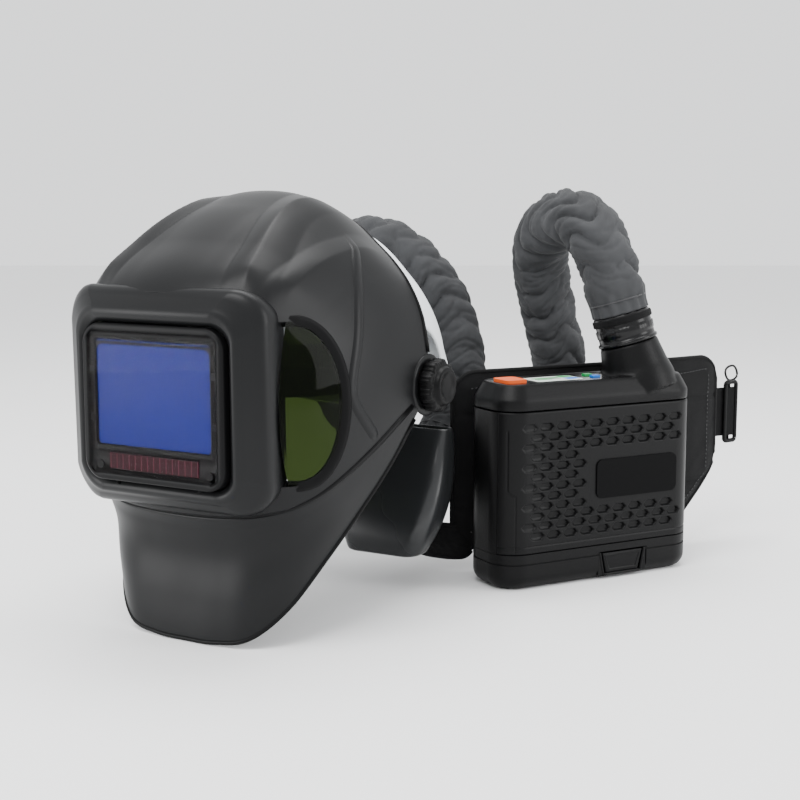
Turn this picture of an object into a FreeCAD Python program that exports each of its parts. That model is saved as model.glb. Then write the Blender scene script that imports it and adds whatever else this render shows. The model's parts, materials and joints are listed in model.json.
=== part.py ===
"""Powered air respirator: welding helmet, breathing hose and belt-worn blower unit.

The helmet is modelled about the axis of its two side pivots (front -Y, wearer's left +X) and the
blower about the centre of its base (front -Y). Two placements then stand both on one floor, with the
origin on that floor, under the middle of the whole. Lengths are millimetres.
"""

import FreeCAD
import Part
from FreeCAD import Placement, Rotation, Vector

import math
import os

os.makedirs("parts", exist_ok=True)
doc = FreeCAD.newDocument("respirator")
sheet = doc.addObject("Spreadsheet::Sheet", "sizes")

SIZES = {
    # where the two modules stand, before the whole is centred on the origin
    "stand_x": -43.3, "stand_y": -20.4,
    "helmet_x": -87.0, "helmet_y": 0.0, "pivot_height": 186.0, "helmet_yaw": -30.0,
    "blower_x": 161.0, "blower_y": 75.0, "blower_yaw": 28.0,
    # helmet
    "shell_wall": 3.0, "half_width": 127.0, "fan_split": -30.0,
    "knob_radius": 21.0, "knob_depth": 11.0, "cap_radius": 14.0, "cap_depth": 5.0,
    "pivot_bore": 4.1, "bolt_radius": 4.0,
    "filter_width": 128.0, "filter_height": 116.0, "filter_depth": 18.0,
    "lens_width": 104.0, "lens_height": 76.0,
    "dome_reach": 125.0, "dome_half": 110.0, "dome_wall": 2.5,
    "band_height": 22.0, "band_wall": 2.4, "duct_wall": 2.4, "port_radius": 21.0,
    # blower
    "body_width": 204.0, "body_depth": 66.0, "battery_top": 31.0, "cover_top": 153.0, "deck_top": 176.0,
    "case_wall": 2.6, "corner_radius": 24.0,
    "collar_radius": 25.5, "collar_length": 27.0, "impeller_radius": 36.0,
    # hose and belt
    "sleeve_radius": 26.0,
    "pad_low": 22.0, "pad_high": 180.0, "pad_thick": 8.0, "strap_width": 48.0, "strap_thick": 2.4,
}
for row, (alias, number) in enumerate(SIZES.items(), start=1):
    sheet.set(f"A{row}", alias)
    sheet.set(f"B{row}", str(number))
    sheet.setAlias(f"B{row}", alias)
doc.recompute()


def size(alias):
    """A driving dimension from the sheet."""
    return float(getattr(sheet, alias))


STAND = Vector(size("stand_x"), size("stand_y"), 0)
HELMET = Placement(STAND + Vector(size("helmet_x"), size("helmet_y"), size("pivot_height")),
                   Rotation(Vector(0, 0, 1), size("helmet_yaw")))
BLOWER = Placement(STAND + Vector(size("blower_x"), size("blower_y"), 0),
                   Rotation(Vector(0, 0, 1), size("blower_yaw")))
AXIS_X, AXIS_Y, AXIS_Z = Vector(1, 0, 0), Vector(0, 1, 0), Vector(0, 0, 1)
nodes = {}


# ---------------------------------------------------------------- helpers
def spot(x, y, z, axis=AXIS_Z, angle=0):
    return Placement(Vector(x, y, z), Rotation(axis, angle))


def facing(point, direction):
    """A placement at point whose local Z looks along direction."""
    return Placement(Vector(*point), Rotation(AXIS_Z, Vector(*direction)))


def primitive(kind, name, place, **sizes):
    """A Part primitive whose sizes are expressions on the sheet or plain numbers."""
    made = doc.addObject(f"Part::{kind}", name)
    for prop, value in sizes.items():
        if isinstance(value, str):
            made.setExpression(prop, value.replace("#", "sizes."))
        else:
            setattr(made, prop, value)
    made.Placement = place
    return made


def combine(kind, name, *members):
    """Part::Cut of the first member by the rest, or a fuse or common of all."""
    if kind == "Cut":
        tool = members[1]
        if len(members) > 2:
            tool = combine("MultiFuse", name + "_tools", *members[1:])
        made = doc.addObject("Part::Cut", name)
        made.Base, made.Tool = members[0], tool
    else:
        made = doc.addObject(f"Part::{kind}", name)
        made.Shapes = list(members)
    return made


def shaped(name, shape):
    """A Part::Feature for a shape that primitives can't make."""
    made = doc.addObject("Part::Feature", name)
    made.Shape = shape
    return made


def node(name, thing, module=None):
    """Registers a finished sub-part under its node name and stands it in its module."""
    doc.recompute()
    thing.Label = name
    if module is not None:
        thing.Placement = module.multiply(thing.Placement)
    nodes[name] = thing
    return thing


def origin_plane(body, role):
    return next(f for f in body.Origin.OriginFeatures if f.Role == role)


def sketch_on(body, role, name, offset=0.0):
    drawing = body.newObject("Sketcher::SketchObject", name)
    drawing.AttachmentSupport = [(origin_plane(body, role), "")]
    drawing.MapMode = "FlatFace"
    drawing.AttachmentOffset = spot(0, 0, offset)
    return drawing


def draw_loop(drawing, points):
    """A closed chain of straight lines in a sketch."""
    corners = [Vector(x, y, 0) for x, y in points]
    for a, b in zip(corners, corners[1:] + corners[:1]):
        drawing.addGeometry(Part.LineSegment(a, b), False)


def pad_body(name, role, points, length, offset=0.0, fillet=None, symmetric=False):
    """A PartDesign body: one polygon sketch, one pad and, if asked, a fillet on its long edges."""
    body = doc.addObject("PartDesign::Body", name)
    drawing = sketch_on(body, role, name + "_sketch", offset)
    draw_loop(drawing, points)
    pad = body.newObject("PartDesign::Pad", name + "_pad")
    pad.Profile = drawing
    if isinstance(length, str):
        pad.setExpression("Length", length.replace("#", "sizes."))
    else:
        pad.Length = length
    pad.Midplane = symmetric
    doc.recompute()
    if fillet:
        made = body.newObject("PartDesign::Fillet", name + "_fillet")
        made.Base = (pad, [f"Edge{i + 1}" for i, e in enumerate(pad.Shape.Edges) if along_normal(e, role)])
        made.Radius = fillet
        doc.recompute()
    return body


def along_normal(edge, role):
    """True for a straight edge that runs along the pad's direction."""
    if len(edge.Vertexes) < 2:
        return False
    run = edge.Vertexes[1].Point.sub(edge.Vertexes[0].Point)
    normal = {"XY_Plane": AXIS_Z, "XZ_Plane": AXIS_Y, "YZ_Plane": AXIS_X}[role]
    return run.Length > 0 and abs(run.dot(normal)) > 0.99 * run.Length


def rectangle(x0, y0, x1, y1):
    return [(x0, y0), (x1, y0), (x1, y1), (x0, y1)]


def rounded_outline(width, depth, radius, z=0.0, x=0.0, y=0.0):
    """A closed wire: a rectangle with round corners, in a horizontal plane."""
    w, d = width / 2, depth / 2
    r = min(radius, w - 0.5, d - 0.5)
    wire = []
    corners = [(w - r, d - r, 0), (-w + r, d - r, 90), (-w + r, -d + r, 180), (w - r, -d + r, 270)]
    spots = []
    for cx, cy, start in corners:
        ends = [start, start + 45, start + 90]
        spots.append([Vector(x + cx + r * math.cos(math.radians(t)),
                             y + cy + r * math.sin(math.radians(t)), z)
                      for t in ends])
    for i, (a, mid, b) in enumerate(spots):
        wire.append(Part.Arc(a, mid, b).toShape())
        wire.append(Part.LineSegment(b, spots[(i + 1) % 4][0]).toShape())
    return Part.Wire(wire)


def block(width, depth, radius, z0, z1, x=0.0, y=0.0):
    """A solid upright block with round vertical corners."""
    face = Part.Face(rounded_outline(width, depth, radius, z0, x, y))
    return face.extrude(Vector(0, 0, z1 - z0))


# ---------------------------------------------------------------- helmet shells
# Sections of the shell in planes through the pivot axis. Each row is the plane's angle above straight
# ahead, then the distance from the axis at each share of the half width in SPREAD.
SPREAD = (0.0, 0.22, 0.44, 0.62, 0.74, 0.85, 0.94, 1.0)
SECTIONS = {
    -51: (238, 237, 229, 200, 158, 113, 68, 14),
    -46: (212, 212, 207, 187, 156, 116, 71, 14),
    -40: (188, 187, 183, 170, 150, 120, 74, 14),
    -34: (178, 177, 173, 163, 149, 123, 76, 14),
    -30: (176, 175, 171, 162, 150, 125, 77, 14),
    -15: (172, 171, 169, 163, 148, 122, 76, 14),
    0: (172, 171, 169, 163, 146, 118, 74, 14),
    12: (180, 178, 174, 165, 145, 116, 72, 14),
    24: (192, 190, 184, 172, 144, 112, 70, 14),
    42: (172, 170, 165, 148, 127, 99, 63, 14),
    60: (161, 159, 151, 130, 112, 89, 57, 14),
    76: (155, 152, 141, 119, 103, 82, 53, 14),
    93: (139, 136, 125, 107, 93, 75, 50, 14),
}


def fan_point(angle, x, reach):
    """A point at that distance from the pivot axis, in the plane at that angle."""
    turn = math.radians(angle)
    return Vector(x, -reach * math.cos(turn), reach * math.sin(turn))


def fan_section(angle, inset=0.0):
    """The (x, distance) pairs of one section, from the wearer's right to the left."""
    angles = sorted(SECTIONS)
    low = max(a for a in angles if a <= angle)
    high = min(a for a in angles if a >= angle)
    share = 0.0 if high == low else (angle - low) / (high - low)
    half = size("half_width") - inset
    right = []
    for part, near, far in zip(SPREAD, SECTIONS[low], SECTIONS[high]):
        reach = near + (far - near) * share
        tuck = inset if part < 1 else 0.0
        right.append((part * half, reach - tuck))
    return [(-x, reach) for x, reach in reversed(right[1:])] + right


def fan_wire(angle, outer_inset, inner_inset):
    """The closed outline of a wall's section between two insets."""
    outer = [fan_point(angle, x, r) for x, r in fan_section(angle, outer_inset)]
    inner = [fan_point(angle, x, r) for x, r in fan_section(angle, inner_inset)]
    edges = []
    for run in (outer, inner[::-1]):
        curve = Part.BSplineCurve()
        curve.interpolate(run)
        edges.append(curve.toShape())
    ends = [Part.LineSegment(outer[-1], inner[-1]).toShape(), Part.LineSegment(inner[0], outer[0]).toShape()]
    return Part.Wire([edges[0], ends[0], edges[1], ends[1]])


def fan_shell(angles, outer_inset, inner_inset):
    """A curved wall lofted through its sections."""
    return Part.makeLoft([fan_wire(a, outer_inset, inner_inset) for a in angles], True, False)


def fan_sector(low, high, reach, half):
    """A wedge about the pivot axis that trims a shell: angles low to high, out to reach, x within half."""
    corner = [Vector(-half, 0, 0), fan_point(low, -half, reach),
              fan_point((low + high) / 2, -half, reach * 1.3),
              fan_point(high, -half, reach)]
    face = Part.Face(Part.makePolygon(corner + corner[:1]))
    return face.extrude(Vector(2 * half, 0, 0))


FRAME_LOW, FRAME_HIGH, FRAME_HALF = -25.0, 24.0, 90.0


def window_cutter(side, grow=0.0):
    """The side window's opening: a D in side view, its straight edge at the front frame."""
    front, back = -178.0 - grow, -101.0 + grow
    high, low = 60.0 + grow, -62.0 - grow
    bulge = Part.Arc(Vector(0, -132, high), Vector(0, back, 0), Vector(0, -132, low)).toShape()
    lines = [Part.LineSegment(Vector(0, -132, low), Vector(0, front, low + 3)).toShape(),
             Part.LineSegment(Vector(0, front, low + 3), Vector(0, front, high - 2)).toShape(),
             Part.LineSegment(Vector(0, front, high - 2), Vector(0, -132, high)).toShape()]
    face = Part.Face(Part.Wire([bulge, *lines]))
    face.translate(Vector(side * 70, 0, 0))
    return face.extrude(Vector(side * 80, 0, 0))


def ear_hole(side):
    return Part.makeCylinder(size("pivot_bore"), 30, Vector(side * 105, 0, 0), Vector(side, 0, 0))


FRAME_OUTLINE = [(-90, -58), (-90, 62), (-68, 86), (68, 86), (90, 62), (90, -58), (72, -86), (-72, -86)]


def frame_prism(inset):
    """The front frame's outline in front view, as a prism through the whole face."""
    corner = []
    for x, z in FRAME_OUTLINE:
        corner.append(Vector(x - math.copysign(inset, x), -230, z - math.copysign(inset, z)))
    face = Part.Face(Part.makePolygon(corner + corner[:1]))
    trimmed = face.extrude(Vector(0, 110, 0))
    return trimmed.common(fan_sector(FRAME_LOW + inset / 3, FRAME_HIGH - inset / 3, 260, 95))


def build_hood():
    wall = size("shell_wall")
    upper = fan_shell([a for a in sorted(SECTIONS) if a >= size("fan_split")], 0.0, wall)
    upper = upper.cut(frame_prism(0.0))
    for side in (-1, 1):
        upper = upper.cut(window_cutter(side))
        lug = Part.makeCylinder(24, 3, Vector(side * (size("half_width") - 3.2), 0, 0), Vector(side, 0, 0))
        upper = upper.fuse(lug).cut(ear_hole(side))
    node("hood_shell", shaped("hood_shell", upper), HELMET)
    lower = fan_shell([a for a in sorted(SECTIONS) if a <= size("fan_split")], 0.0, wall)
    for side in (-1, 1):
        lower = lower.cut(Part.makeCylinder(25, 40, Vector(side * 100, 0, 0), Vector(side, 0, 0)))
    node("chin_guard", shaped("chin_guard", lower), HELMET)
    skin = fan_shell([a for a in sorted(SECTIONS) if -30 <= a <= 42], 0.5, 2.5)
    for side, word in ((1, "left"), (-1, "right")):
        pane = skin.common(window_cutter(side, -0.3)).cut(frame_prism(-0.3))
        node(f"side_window_{word}", shaped(f"side_window_{word}", pane), HELMET)


def curved_front(depth_in, depth_out):
    """The slab between two offsets of the frame's bowed front, seen from above."""
    front = [(-96, -164), (-70, -178), (-35, -185), (0, -187), (35, -185), (70, -178), (96, -164)]
    curves = []
    for depth in (depth_in, depth_out):
        curve = Part.BSplineCurve()
        curve.interpolate([Vector(x, y + depth, -120) for x, y in front])
        curves.append(curve.toShape())
    ends = []
    for x, y in (front[0], front[-1]):
        ends.append(Part.LineSegment(Vector(x, y + depth_in, -120), Vector(x, y + depth_out, -120)).toShape())
    face = Part.Face(Part.Wire(Part.sortEdges([*curves, *ends])[0]))
    return face.extrude(Vector(0, 0, 240))


def build_front():
    """The proud front frame with the welding filter set into it."""
    wide, high, deep = size("filter_width"), size("filter_height"), size("filter_depth")
    frame = curved_front(0, 26).common(frame_prism(0.3))
    frame = frame.cut(curved_front(3.5, 30).common(frame_prism(4.0)))
    hole = block(wide + 0.6, high + 0.6, 16, -30, 30)
    hole.Placement = spot(0, -180, -3, AXIS_X, 90)
    node("front_frame", shaped("front_frame", frame.cut(hole)), HELMET)

    outline = rectangle(-wide / 2, -high / 2, wide / 2, high / 2)
    blank = pad_body("filter_blank", "XZ_Plane", outline, "#filter_depth", fillet=16)
    window = primitive("Box", "filter_window", spot(-size("lens_width") / 2, -40, -33), Length="#lens_width",
                       Width=80, Height="#lens_height")
    seat = primitive("Box", "filter_seat", spot(-55, -deep + 3, -36), Length=110, Width=5.2, Height=82)
    front_seat = primitive("Box", "cover_seat", spot(-58, -deep - 1, -52), Length=116, Width=3.4, Height=101)
    strip = primitive("Box", "solar_seat", spot(-41, -deep - 1, -49), Length=82, Width=4.0, Height=12)
    board = primitive("Box", "board_seat", spot(-50, -10, -55), Length=100, Width=12, Height=16)
    housing = combine("Cut", "filter_housing_cut", blank, window, seat, front_seat, strip, board)
    # the padded body grows to the front of its sketch plane, so its back stands at the frame's back
    stand = HELMET.multiply(spot(0, -165, -3))
    node("filter_housing", housing, stand)
    glass = primitive("Box", "glass", spot(-54.7, -deep + 3.2, -35.7), Length=109.4, Width=4.8, Height=81.4)
    node("filter_glass", glass, stand)
    cover = primitive("Box", "cover", spot(-57.7, -deep - 0.2, -51.7), Length=115.4, Width=1.4, Height=100.4)
    node("cover_plate", cover, stand)
    cell = primitive("Box", "cell", spot(-40.7, -deep + 1.7, -48.7), Length=81.4, Width=1.0, Height=11.4)
    node("solar_cell", cell, stand)
    card = primitive("Box", "card", spot(-48, -9.7, -54.5), Length=96, Width=1.6, Height=15)
    node("filter_board", card, stand)
    squares = []
    for side in (-1, 1):
        for z in (-12, 24):
            squares.append(("square", side * 55.0, z))
        squares.append(("round", side * 50.0, -46.5))
    for place, (form, x, z) in enumerate(squares, start=1):
        if form == "square":
            eye = primitive("Box", f"eye{place}", spot(x - 2.5, -deep + 1.45, z - 2.5), Length=5, Width=0.9,
                            Height=5)
        else:
            eye = primitive("Cylinder", f"eye{place}", spot(x, -deep + 2.35, z, AXIS_X, 90), Radius=3.2,
                            Height=0.9)
        node(f"arc_sensor_{place}", eye, stand)


def build_pivots():
    """The knob, washer and bolt on each side, and the headgear arm behind them."""
    for side, word in ((1, "left"), (-1, "right")):
        out = (side, 0, 0)
        knob = primitive("Cylinder", f"knob_{word}_round", facing((side * 128.0, 0, 0), out),
                         Radius="#knob_radius", Height="#knob_depth")
        cap = primitive("Cone", f"knob_{word}_cap", facing((side * 139.0, 0, 0), out),
                        Radius1="#cap_radius + 2", Radius2="#cap_radius", Height="#cap_depth")
        turned = combine("MultiFuse", f"knob_{word}_turned", knob, cap)
        cuts = []
        for step in range(9):
            turn = math.radians(40 * step)
            y, z = 24.5 * math.cos(turn), 24.5 * math.sin(turn)
            cuts.append(primitive("Cylinder", f"flute_{word}_{step}", facing((side * 120.0, y, z), out),
                                  Radius=6.5, Height=30))
        cuts.append(primitive("Cylinder", f"knob_{word}_bore", facing((side * 120.0, 0, 0), out),
                              Radius="#pivot_bore", Height=14))
        node(f"pivot_knob_{word}", combine("Cut", f"knob_{word}_cut", turned, *cuts), HELMET)
        shank = primitive("Cylinder", f"bolt_{word}_shank", facing((side * 117.0, 0, 0), out),
                          Radius="#bolt_radius", Height=16.5)
        head = primitive("Cylinder", f"bolt_{word}_head", facing((side * 113.0, 0, 0), out), Radius=8,
                         Height=4.2)
        node(f"pivot_bolt_{word}", combine("MultiFuse", f"bolt_{word}", shank, head), HELMET)
        washer = primitive("Cylinder", f"washer_{word}_disc", facing((side * 122.0, 0, 0), out), Radius=13,
                           Height=1.4)
        bore = primitive("Cylinder", f"washer_{word}_bore", facing((side * 110.0, 0, 0), out),
                         Radius="#pivot_bore", Height=30)
        node(f"pivot_washer_{word}", combine("Cut", f"washer_{word}", washer, bore), HELMET)
        disc = primitive("Cylinder", f"arm_{word}_disc", facing((side * 118.0, 0, 0), out), Radius=18,
                         Height=3.4)
        bar_x = 80.3 if side > 0 else -119.0
        bar = primitive("Box", f"arm_{word}_bar", spot(bar_x, -7, 11), Length=38.7, Width=14, Height=4)
        drop = primitive("Box", f"arm_{word}_foot", spot(80.3 if side > 0 else -83.3, -12, -6), Length=3,
                         Width=24, Height=21)
        hole = primitive("Cylinder", f"arm_{word}_hole", facing((side * 105.0, 0, 0), out), Radius=4.05,
                         Height=30)
        joined = combine("MultiFuse", f"arm_{word}_joined", disc, bar, drop)
        node(f"headgear_arm_{word}", combine("Cut", f"arm_{word}", joined, hole), HELMET)


PORT_START, PORT_AXIS = Vector(40, 98, -122), Vector(0.10, 0.82, 0.56).normalize()
PORT_REACH = 46.0


def oval_ring(a, b, wall, z0, z1, centre=(0, 0)):
    """An upright band: an oval ring with semi-axes a and b outside."""
    rings = []
    for inset in (0, wall):
        major, minor = b - inset, a - inset
        oval = Part.Ellipse(Vector(centre[0], centre[1] + major, z0),
                            Vector(centre[0] - minor, centre[1], z0),
                            Vector(centre[0], centre[1], z0))
        rings.append(Part.Face(Part.Wire(oval.toShape())).extrude(Vector(0, 0, z1 - z0)))
    return rings[0].cut(rings[1])


def build_headgear():
    """Crown duct, head band, crown straps, pads, nape ratchet and the air duct behind the neck."""
    reach, half = size("dome_reach"), size("dome_half")
    steps = [k / 8 for k in range(-8, 9)]

    def dome_run(angle, inset):
        run = []
        for k in steps:
            share = abs(k) ** 0.72
            x = math.copysign(share, k) * 0.93
            r = (1 - abs(x) ** 2.5) ** 0.4
            run.append(fan_point(angle, x * (half - inset), r * (reach - inset)))
        return run

    wires = []
    for angle in (100, 125, 150, 175, 198):
        outer, inner = dome_run(angle, 0.0), dome_run(angle, size("dome_wall"))
        edges = []
        for run in (outer, inner[::-1]):
            curve = Part.BSplineCurve()
            curve.interpolate(run)
            edges.append(curve.toShape())
        first = Part.LineSegment(outer[-1], inner[-1]).toShape()
        last = Part.LineSegment(inner[0], outer[0]).toShape()
        wires.append(Part.Wire([edges[0], first, edges[1], last]))
    node("crown_duct", shaped("crown_duct", Part.makeLoft(wires, True, False)), HELMET)

    wall = size("band_wall")
    band = oval_ring(80, 98, wall, -6, -6 + size("band_height"))
    node("head_band", shaped("head_band", band), HELMET)
    pad = oval_ring(80 - wall - 0.1, 98 - wall - 0.1, 6, -4, 14)
    pad = pad.common(Part.makeBox(300, 60, 80, Vector(-150, -110, -40)))
    node("brow_pad", shaped("brow_pad", pad), HELMET)
    for place, y in ((1, -30.0), (2, 34.0)):
        width = 80 * math.sqrt(1 - (y / 98) ** 2) - 0.2
        ring = Part.makeCylinder(width, 16, Vector(0, y - 8, 14), AXIS_Y)
        ring = ring.cut(Part.makeCylinder(width - 2, 18, Vector(0, y - 9, 14), AXIS_Y))
        ring = ring.common(Part.makeBox(200, 40, 120, Vector(-100, y - 20, 16.2)))
        ring = ring.cut(oval_ring(90, 108, 20, 0, 17))
        node(f"crown_strap_{place}", shaped(f"crown_strap_{place}", ring), HELMET)
    box = primitive("Box", "ratchet_box", spot(-32, 98.2, -5), Length=64, Width=11, Height=20)
    node("ratchet_case", box, HELMET)
    knob = primitive("Cylinder", "ratchet_disc", facing((0, 109.4, 5), (0, 1, 0)), Radius=9, Height=7)
    node("ratchet_knob", knob, HELMET)

    sections = [(86, 18, 44, 112, -52), (96, 40, 46, 96, -92), (92, 44, 46, 84, -124), (70, 34, 42, 78, -160)]
    outer = [rounded_outline(w, d, 14, z, x, y) for w, d, x, y, z in sections]
    inner_wall = size("duct_wall")
    inner = [rounded_outline(w - 2 * inner_wall, d - 2 * inner_wall, 12, z, x, y)
             for w, d, x, y, z in sections[:3]]
    bowl = Part.makeLoft(outer, True, False).cut(Part.makeLoft(inner, True, False))
    start, along = PORT_START, PORT_AXIS
    stub = Part.makeCylinder(size("port_radius"), PORT_REACH, start, along)
    bore = Part.makeCylinder(size("port_radius") - inner_wall, PORT_REACH + 4, start.sub(along * 2), along)
    hollow = Part.makeLoft(inner, True, False)
    bowl = bowl.fuse(stub.cut(hollow)).cut(bore)
    node("nape_duct", shaped("nape_duct", bowl.removeSplitter()), HELMET)


build_hood()
build_front()
build_pivots()
build_headgear()

def hexagon(x, z, across, y0, depth):
    """A flat-topped hexagonal prism along Y."""
    corner = []
    for step in range(6):
        turn = math.radians(60 * step)
        corner.append(Vector(x + across * math.cos(turn), y0, z + 0.75 * across * math.sin(turn)))
    return Part.Face(Part.makePolygon(corner + corner[:1])).extrude(Vector(0, depth, 0))


SPLIT_Y = -19.0
COLLAR_BASE, COLLAR_AXIS = Vector(51, 4, 203), Vector(-0.22, 0.16, 0.96).normalize()


def build_case():
    """Rear case, top cap with its neck, front filter cover and what they hold."""
    wide, deep, corner = size("body_width"), size("body_depth"), size("corner_radius")
    wall, low, top = size("case_wall"), size("battery_top"), size("cover_top")
    full = block(wide, deep, corner, low + 0.3, top)
    hollow = block(wide - 2 * wall, deep - 2 * wall, corner - wall, low + 0.3 + wall, top + 1)
    behind = Part.makeBox(wide + 2, 100, 300, Vector(-wide / 2 - 1, SPLIT_Y, -10))
    ahead = Part.makeBox(wide + 2, 100, 300, Vector(-wide / 2 - 1, SPLIT_Y - 100.3, -10))
    node("blower_case", shaped("blower_case", full.cut(hollow).common(behind)), BLOWER)

    cover_full = block(wide, deep, corner, low + 0.3, top)
    cover_hollow = block(wide - 2 * wall, deep - 2 * wall, corner - wall, low + 0.3 + wall, top - wall)
    cover = cover_full.cut(cover_hollow).common(ahead)
    dimples = []
    for column in range(-4, 5):
        for line in range(12):
            x = column * 17 + (8.5 if line % 2 else 0)
            z = 46 + 8.5 * line
            beside_plate = abs(x - 35) > 52 or abs(z - 90) > 24
            if beside_plate and abs(x) < 78:
                dimples.append(hexagon(x, z, 6.4, -deep / 2 - 0.5, 1.7))
    node("filter_cover", shaped("filter_cover", cover.cut(Part.Compound(dimples))), BLOWER)
    plate = pad_body("plate", "XZ_Plane", rectangle(-8, 73, 78, 107), 1.2, fillet=6)
    node("label_plate", plate, BLOWER.multiply(spot(0, -deep / 2 - 0.05, 0)))
    guard = primitive("Box", "guard", spot(-88, -22.2, 42), Length=176, Width=1.2, Height=98)
    node("spark_guard", guard, BLOWER)
    media = primitive("Box", "media", spot(-88, -18.5, 42), Length=176, Width=14, Height=98)
    node("particle_filter", media, BLOWER)

    scroll = primitive("Cylinder", "scroll_outer", spot(-35, 28, 92, AXIS_X, 90), Radius=43, Height=30)
    scroll_in = primitive("Cylinder", "scroll_inner", spot(-35, 25.5, 92, AXIS_X, 90), Radius=40.6, Height=30)
    node("fan_scroll", combine("Cut", "scroll", scroll, scroll_in), BLOWER)
    motor = primitive("Cylinder", "motor_can", spot(-35, 25.4, 92, AXIS_X, 90), Radius=14, Height=5)
    shaft = primitive("Cylinder", "motor_shaft", spot(-35, 20.4, 92, AXIS_X, 90), Radius=2, Height=16)
    node("fan_motor", combine("MultiFuse", "motor", motor, shaft), BLOWER)
    hub = primitive("Cylinder", "hub", spot(-35, 20.0, 92, AXIS_X, 90), Radius="#impeller_radius", Height=2)
    boss = primitive("Cylinder", "boss", spot(-35, 18.1, 92, AXIS_X, 90), Radius=9, Height=12)
    blades = []
    for step in range(16):
        turn = 22.5 * step
        x = -35 + 24 * math.cos(math.radians(turn))
        z = 92 + 24 * math.sin(math.radians(turn))
        lean = Rotation(AXIS_Y, -turn - 25)
        blade = primitive("Box", f"blade{step}", Placement(Vector(x, 3.0, z), lean), Length=10, Width=15.2,
                          Height=1.4)
        blades.append(blade)
    wheel = combine("MultiFuse", "wheel", hub, boss, *blades)
    bore = primitive("Cylinder", "wheel_bore", spot(-35, 30, 92, AXIS_X, 90), Radius=2.05, Height=40)
    node("impeller", combine("Cut", "impeller_cut", wheel, bore), BLOWER)
    board = primitive("Box", "board", spot(20, 20, 44), Length=64, Width=1.6, Height=88)
    node("control_board", board, BLOWER)


def build_cap():
    """The bevelled top cap with its slanted neck, display and keys."""
    wide, deep, corner = size("body_width"), size("body_depth"), size("corner_radius")
    wall, low, top = size("case_wall"), size("cover_top") + 0.3, size("deck_top")
    skirt = block(wide, deep, corner, low, low + 9)
    bevel = Part.makeLoft([rounded_outline(wide, deep, corner, low + 9),
                           rounded_outline(wide - 14, deep - 14, corner - 5, top)], True, False)
    hollow = block(wide - 2 * wall, deep - 2 * wall, corner - wall, low - 1, low + 9)
    hollow_low = rounded_outline(wide - 2 * wall, deep - 2 * wall, corner - wall, low + 8.9)
    hollow_top = rounded_outline(wide - 20, deep - 20, corner - 7, top - wall)
    hollow = hollow.fuse(Part.makeLoft([hollow_low, hollow_top], True, False))
    foot = COLLAR_BASE - COLLAR_AXIS * 44
    neck = Part.makeCone(34, 25.5, 44, foot, COLLAR_AXIS)
    above = Part.makeBox(400, 400, 200, Vector(-200, -200, low + 3))
    cap = skirt.fuse(bevel).fuse(neck.common(above))
    bore = Part.makeCylinder(17, 80, foot - COLLAR_AXIS * 20, COLLAR_AXIS)
    seat = block(116, 44, 6, top - 2.2, top + 5, -32, 0)
    well = block(22, 26, 5, top - 12, top + 5, -76, 0)
    keys = [Part.makeBox(8, 6, 20, Vector(4, y, top - 12)) for y in (-9, 3)]
    cap = cap.cut(hollow).cut(bore).cut(seat).cut(well)
    for key in keys:
        cap = cap.cut(key)
    node("top_cap", shaped("top_cap", cap.removeSplitter()), BLOWER)

    panel = block(115.4, 43.4, 5.7, top - 2.1, top - 0.6, -32, 0)
    panel = panel.cut(block(22, 26, 5, top - 5, top + 5, -76, 0))
    panel = panel.cut(block(48, 26, 3, top - 1.6, top + 5, -32, 0))
    for key in keys:
        panel = panel.cut(key)
    node("display_panel", shaped("display_panel", panel), BLOWER)
    glass = block(47.6, 25.6, 2.8, top - 1.5, top - 0.3, -32, 0)
    node("display_screen", shaped("display_screen", glass), BLOWER)
    button = block(21.4, 25.4, 4.7, top - 8.5, top + 2.0, -76, 0)
    node("power_button", shaped("power_button", button), BLOWER)
    for key, word, y in ((0, "down", -9), (1, "up", 3)):
        cap_key = primitive("Box", f"key_{word}_box", spot(4.3, y + 0.3, top - 7), Length=7.4, Width=5.4,
                            Height=8)
        node(f"flow_key_{word}", cap_key, BLOWER)


def build_battery():
    """The battery with its round lower corners, the rails it slides on and its sprung latch."""
    wide, deep, corner, top = (size(a) for a in ("body_width", "body_depth", "corner_radius", "battery_top"))
    pack = block(wide, deep, corner, 0, top)
    under = [e for e in pack.Edges if all(abs(v.Point.z) < 0.01 for v in e.Vertexes)]
    pack = pack.makeFillet(12, under)
    pocket = Part.makeBox(52, 9.8, 21, Vector(-4, -deep / 2 - 1, 4))
    groove = block(wide + 4, deep + 4, corner, 22, 23.6).cut(block(wide - 2, deep - 2, corner - 1, 21, 25))
    node("battery_pack", shaped("battery_pack", pack.cut(pocket).cut(groove)), BLOWER)
    outline = [(-20, -9.5), (20, -9.5), (24, 9.5), (-24, 9.5)]
    latch = pad_body("latch", "XZ_Plane", outline, 7.0, fillet=3)
    node("battery_latch", latch, BLOWER.multiply(spot(22, -deep / 2 + 6.5, 14.5)))


def build_outlet():
    """The connector ring on the neck, with its latch and elastic band."""
    radius, length = size("collar_radius"), size("collar_length")
    for word, module, base, axis in (("blower", BLOWER, COLLAR_BASE, COLLAR_AXIS),
                                     ("helmet", HELMET, PORT_START + PORT_AXIS * PORT_REACH, PORT_AXIS)):
        ring = Part.makeCylinder(radius, length, base + axis * 0.2, axis)
        ring = ring.cut(Part.makeCylinder(16.5, length + 2, base - axis, axis))
        lip = Part.makeCylinder(radius + 1.2, 3, base + axis * 0.2, axis)
        lip = lip.cut(Part.makeCylinder(16.5, length + 2, base - axis, axis))
        node(f"hose_cuff_{word}", shaped(f"hose_cuff_{word}", ring.fuse(lip)), module)
        band = Part.makeCylinder(radius + 1.4, 6, base + axis * 19, axis)
        band = band.cut(Part.makeCylinder(radius + 0.1, 8, base + axis * 18, axis))
        node(f"cuff_band_{word}", shaped(f"cuff_band_{word}", band), module)


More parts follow.
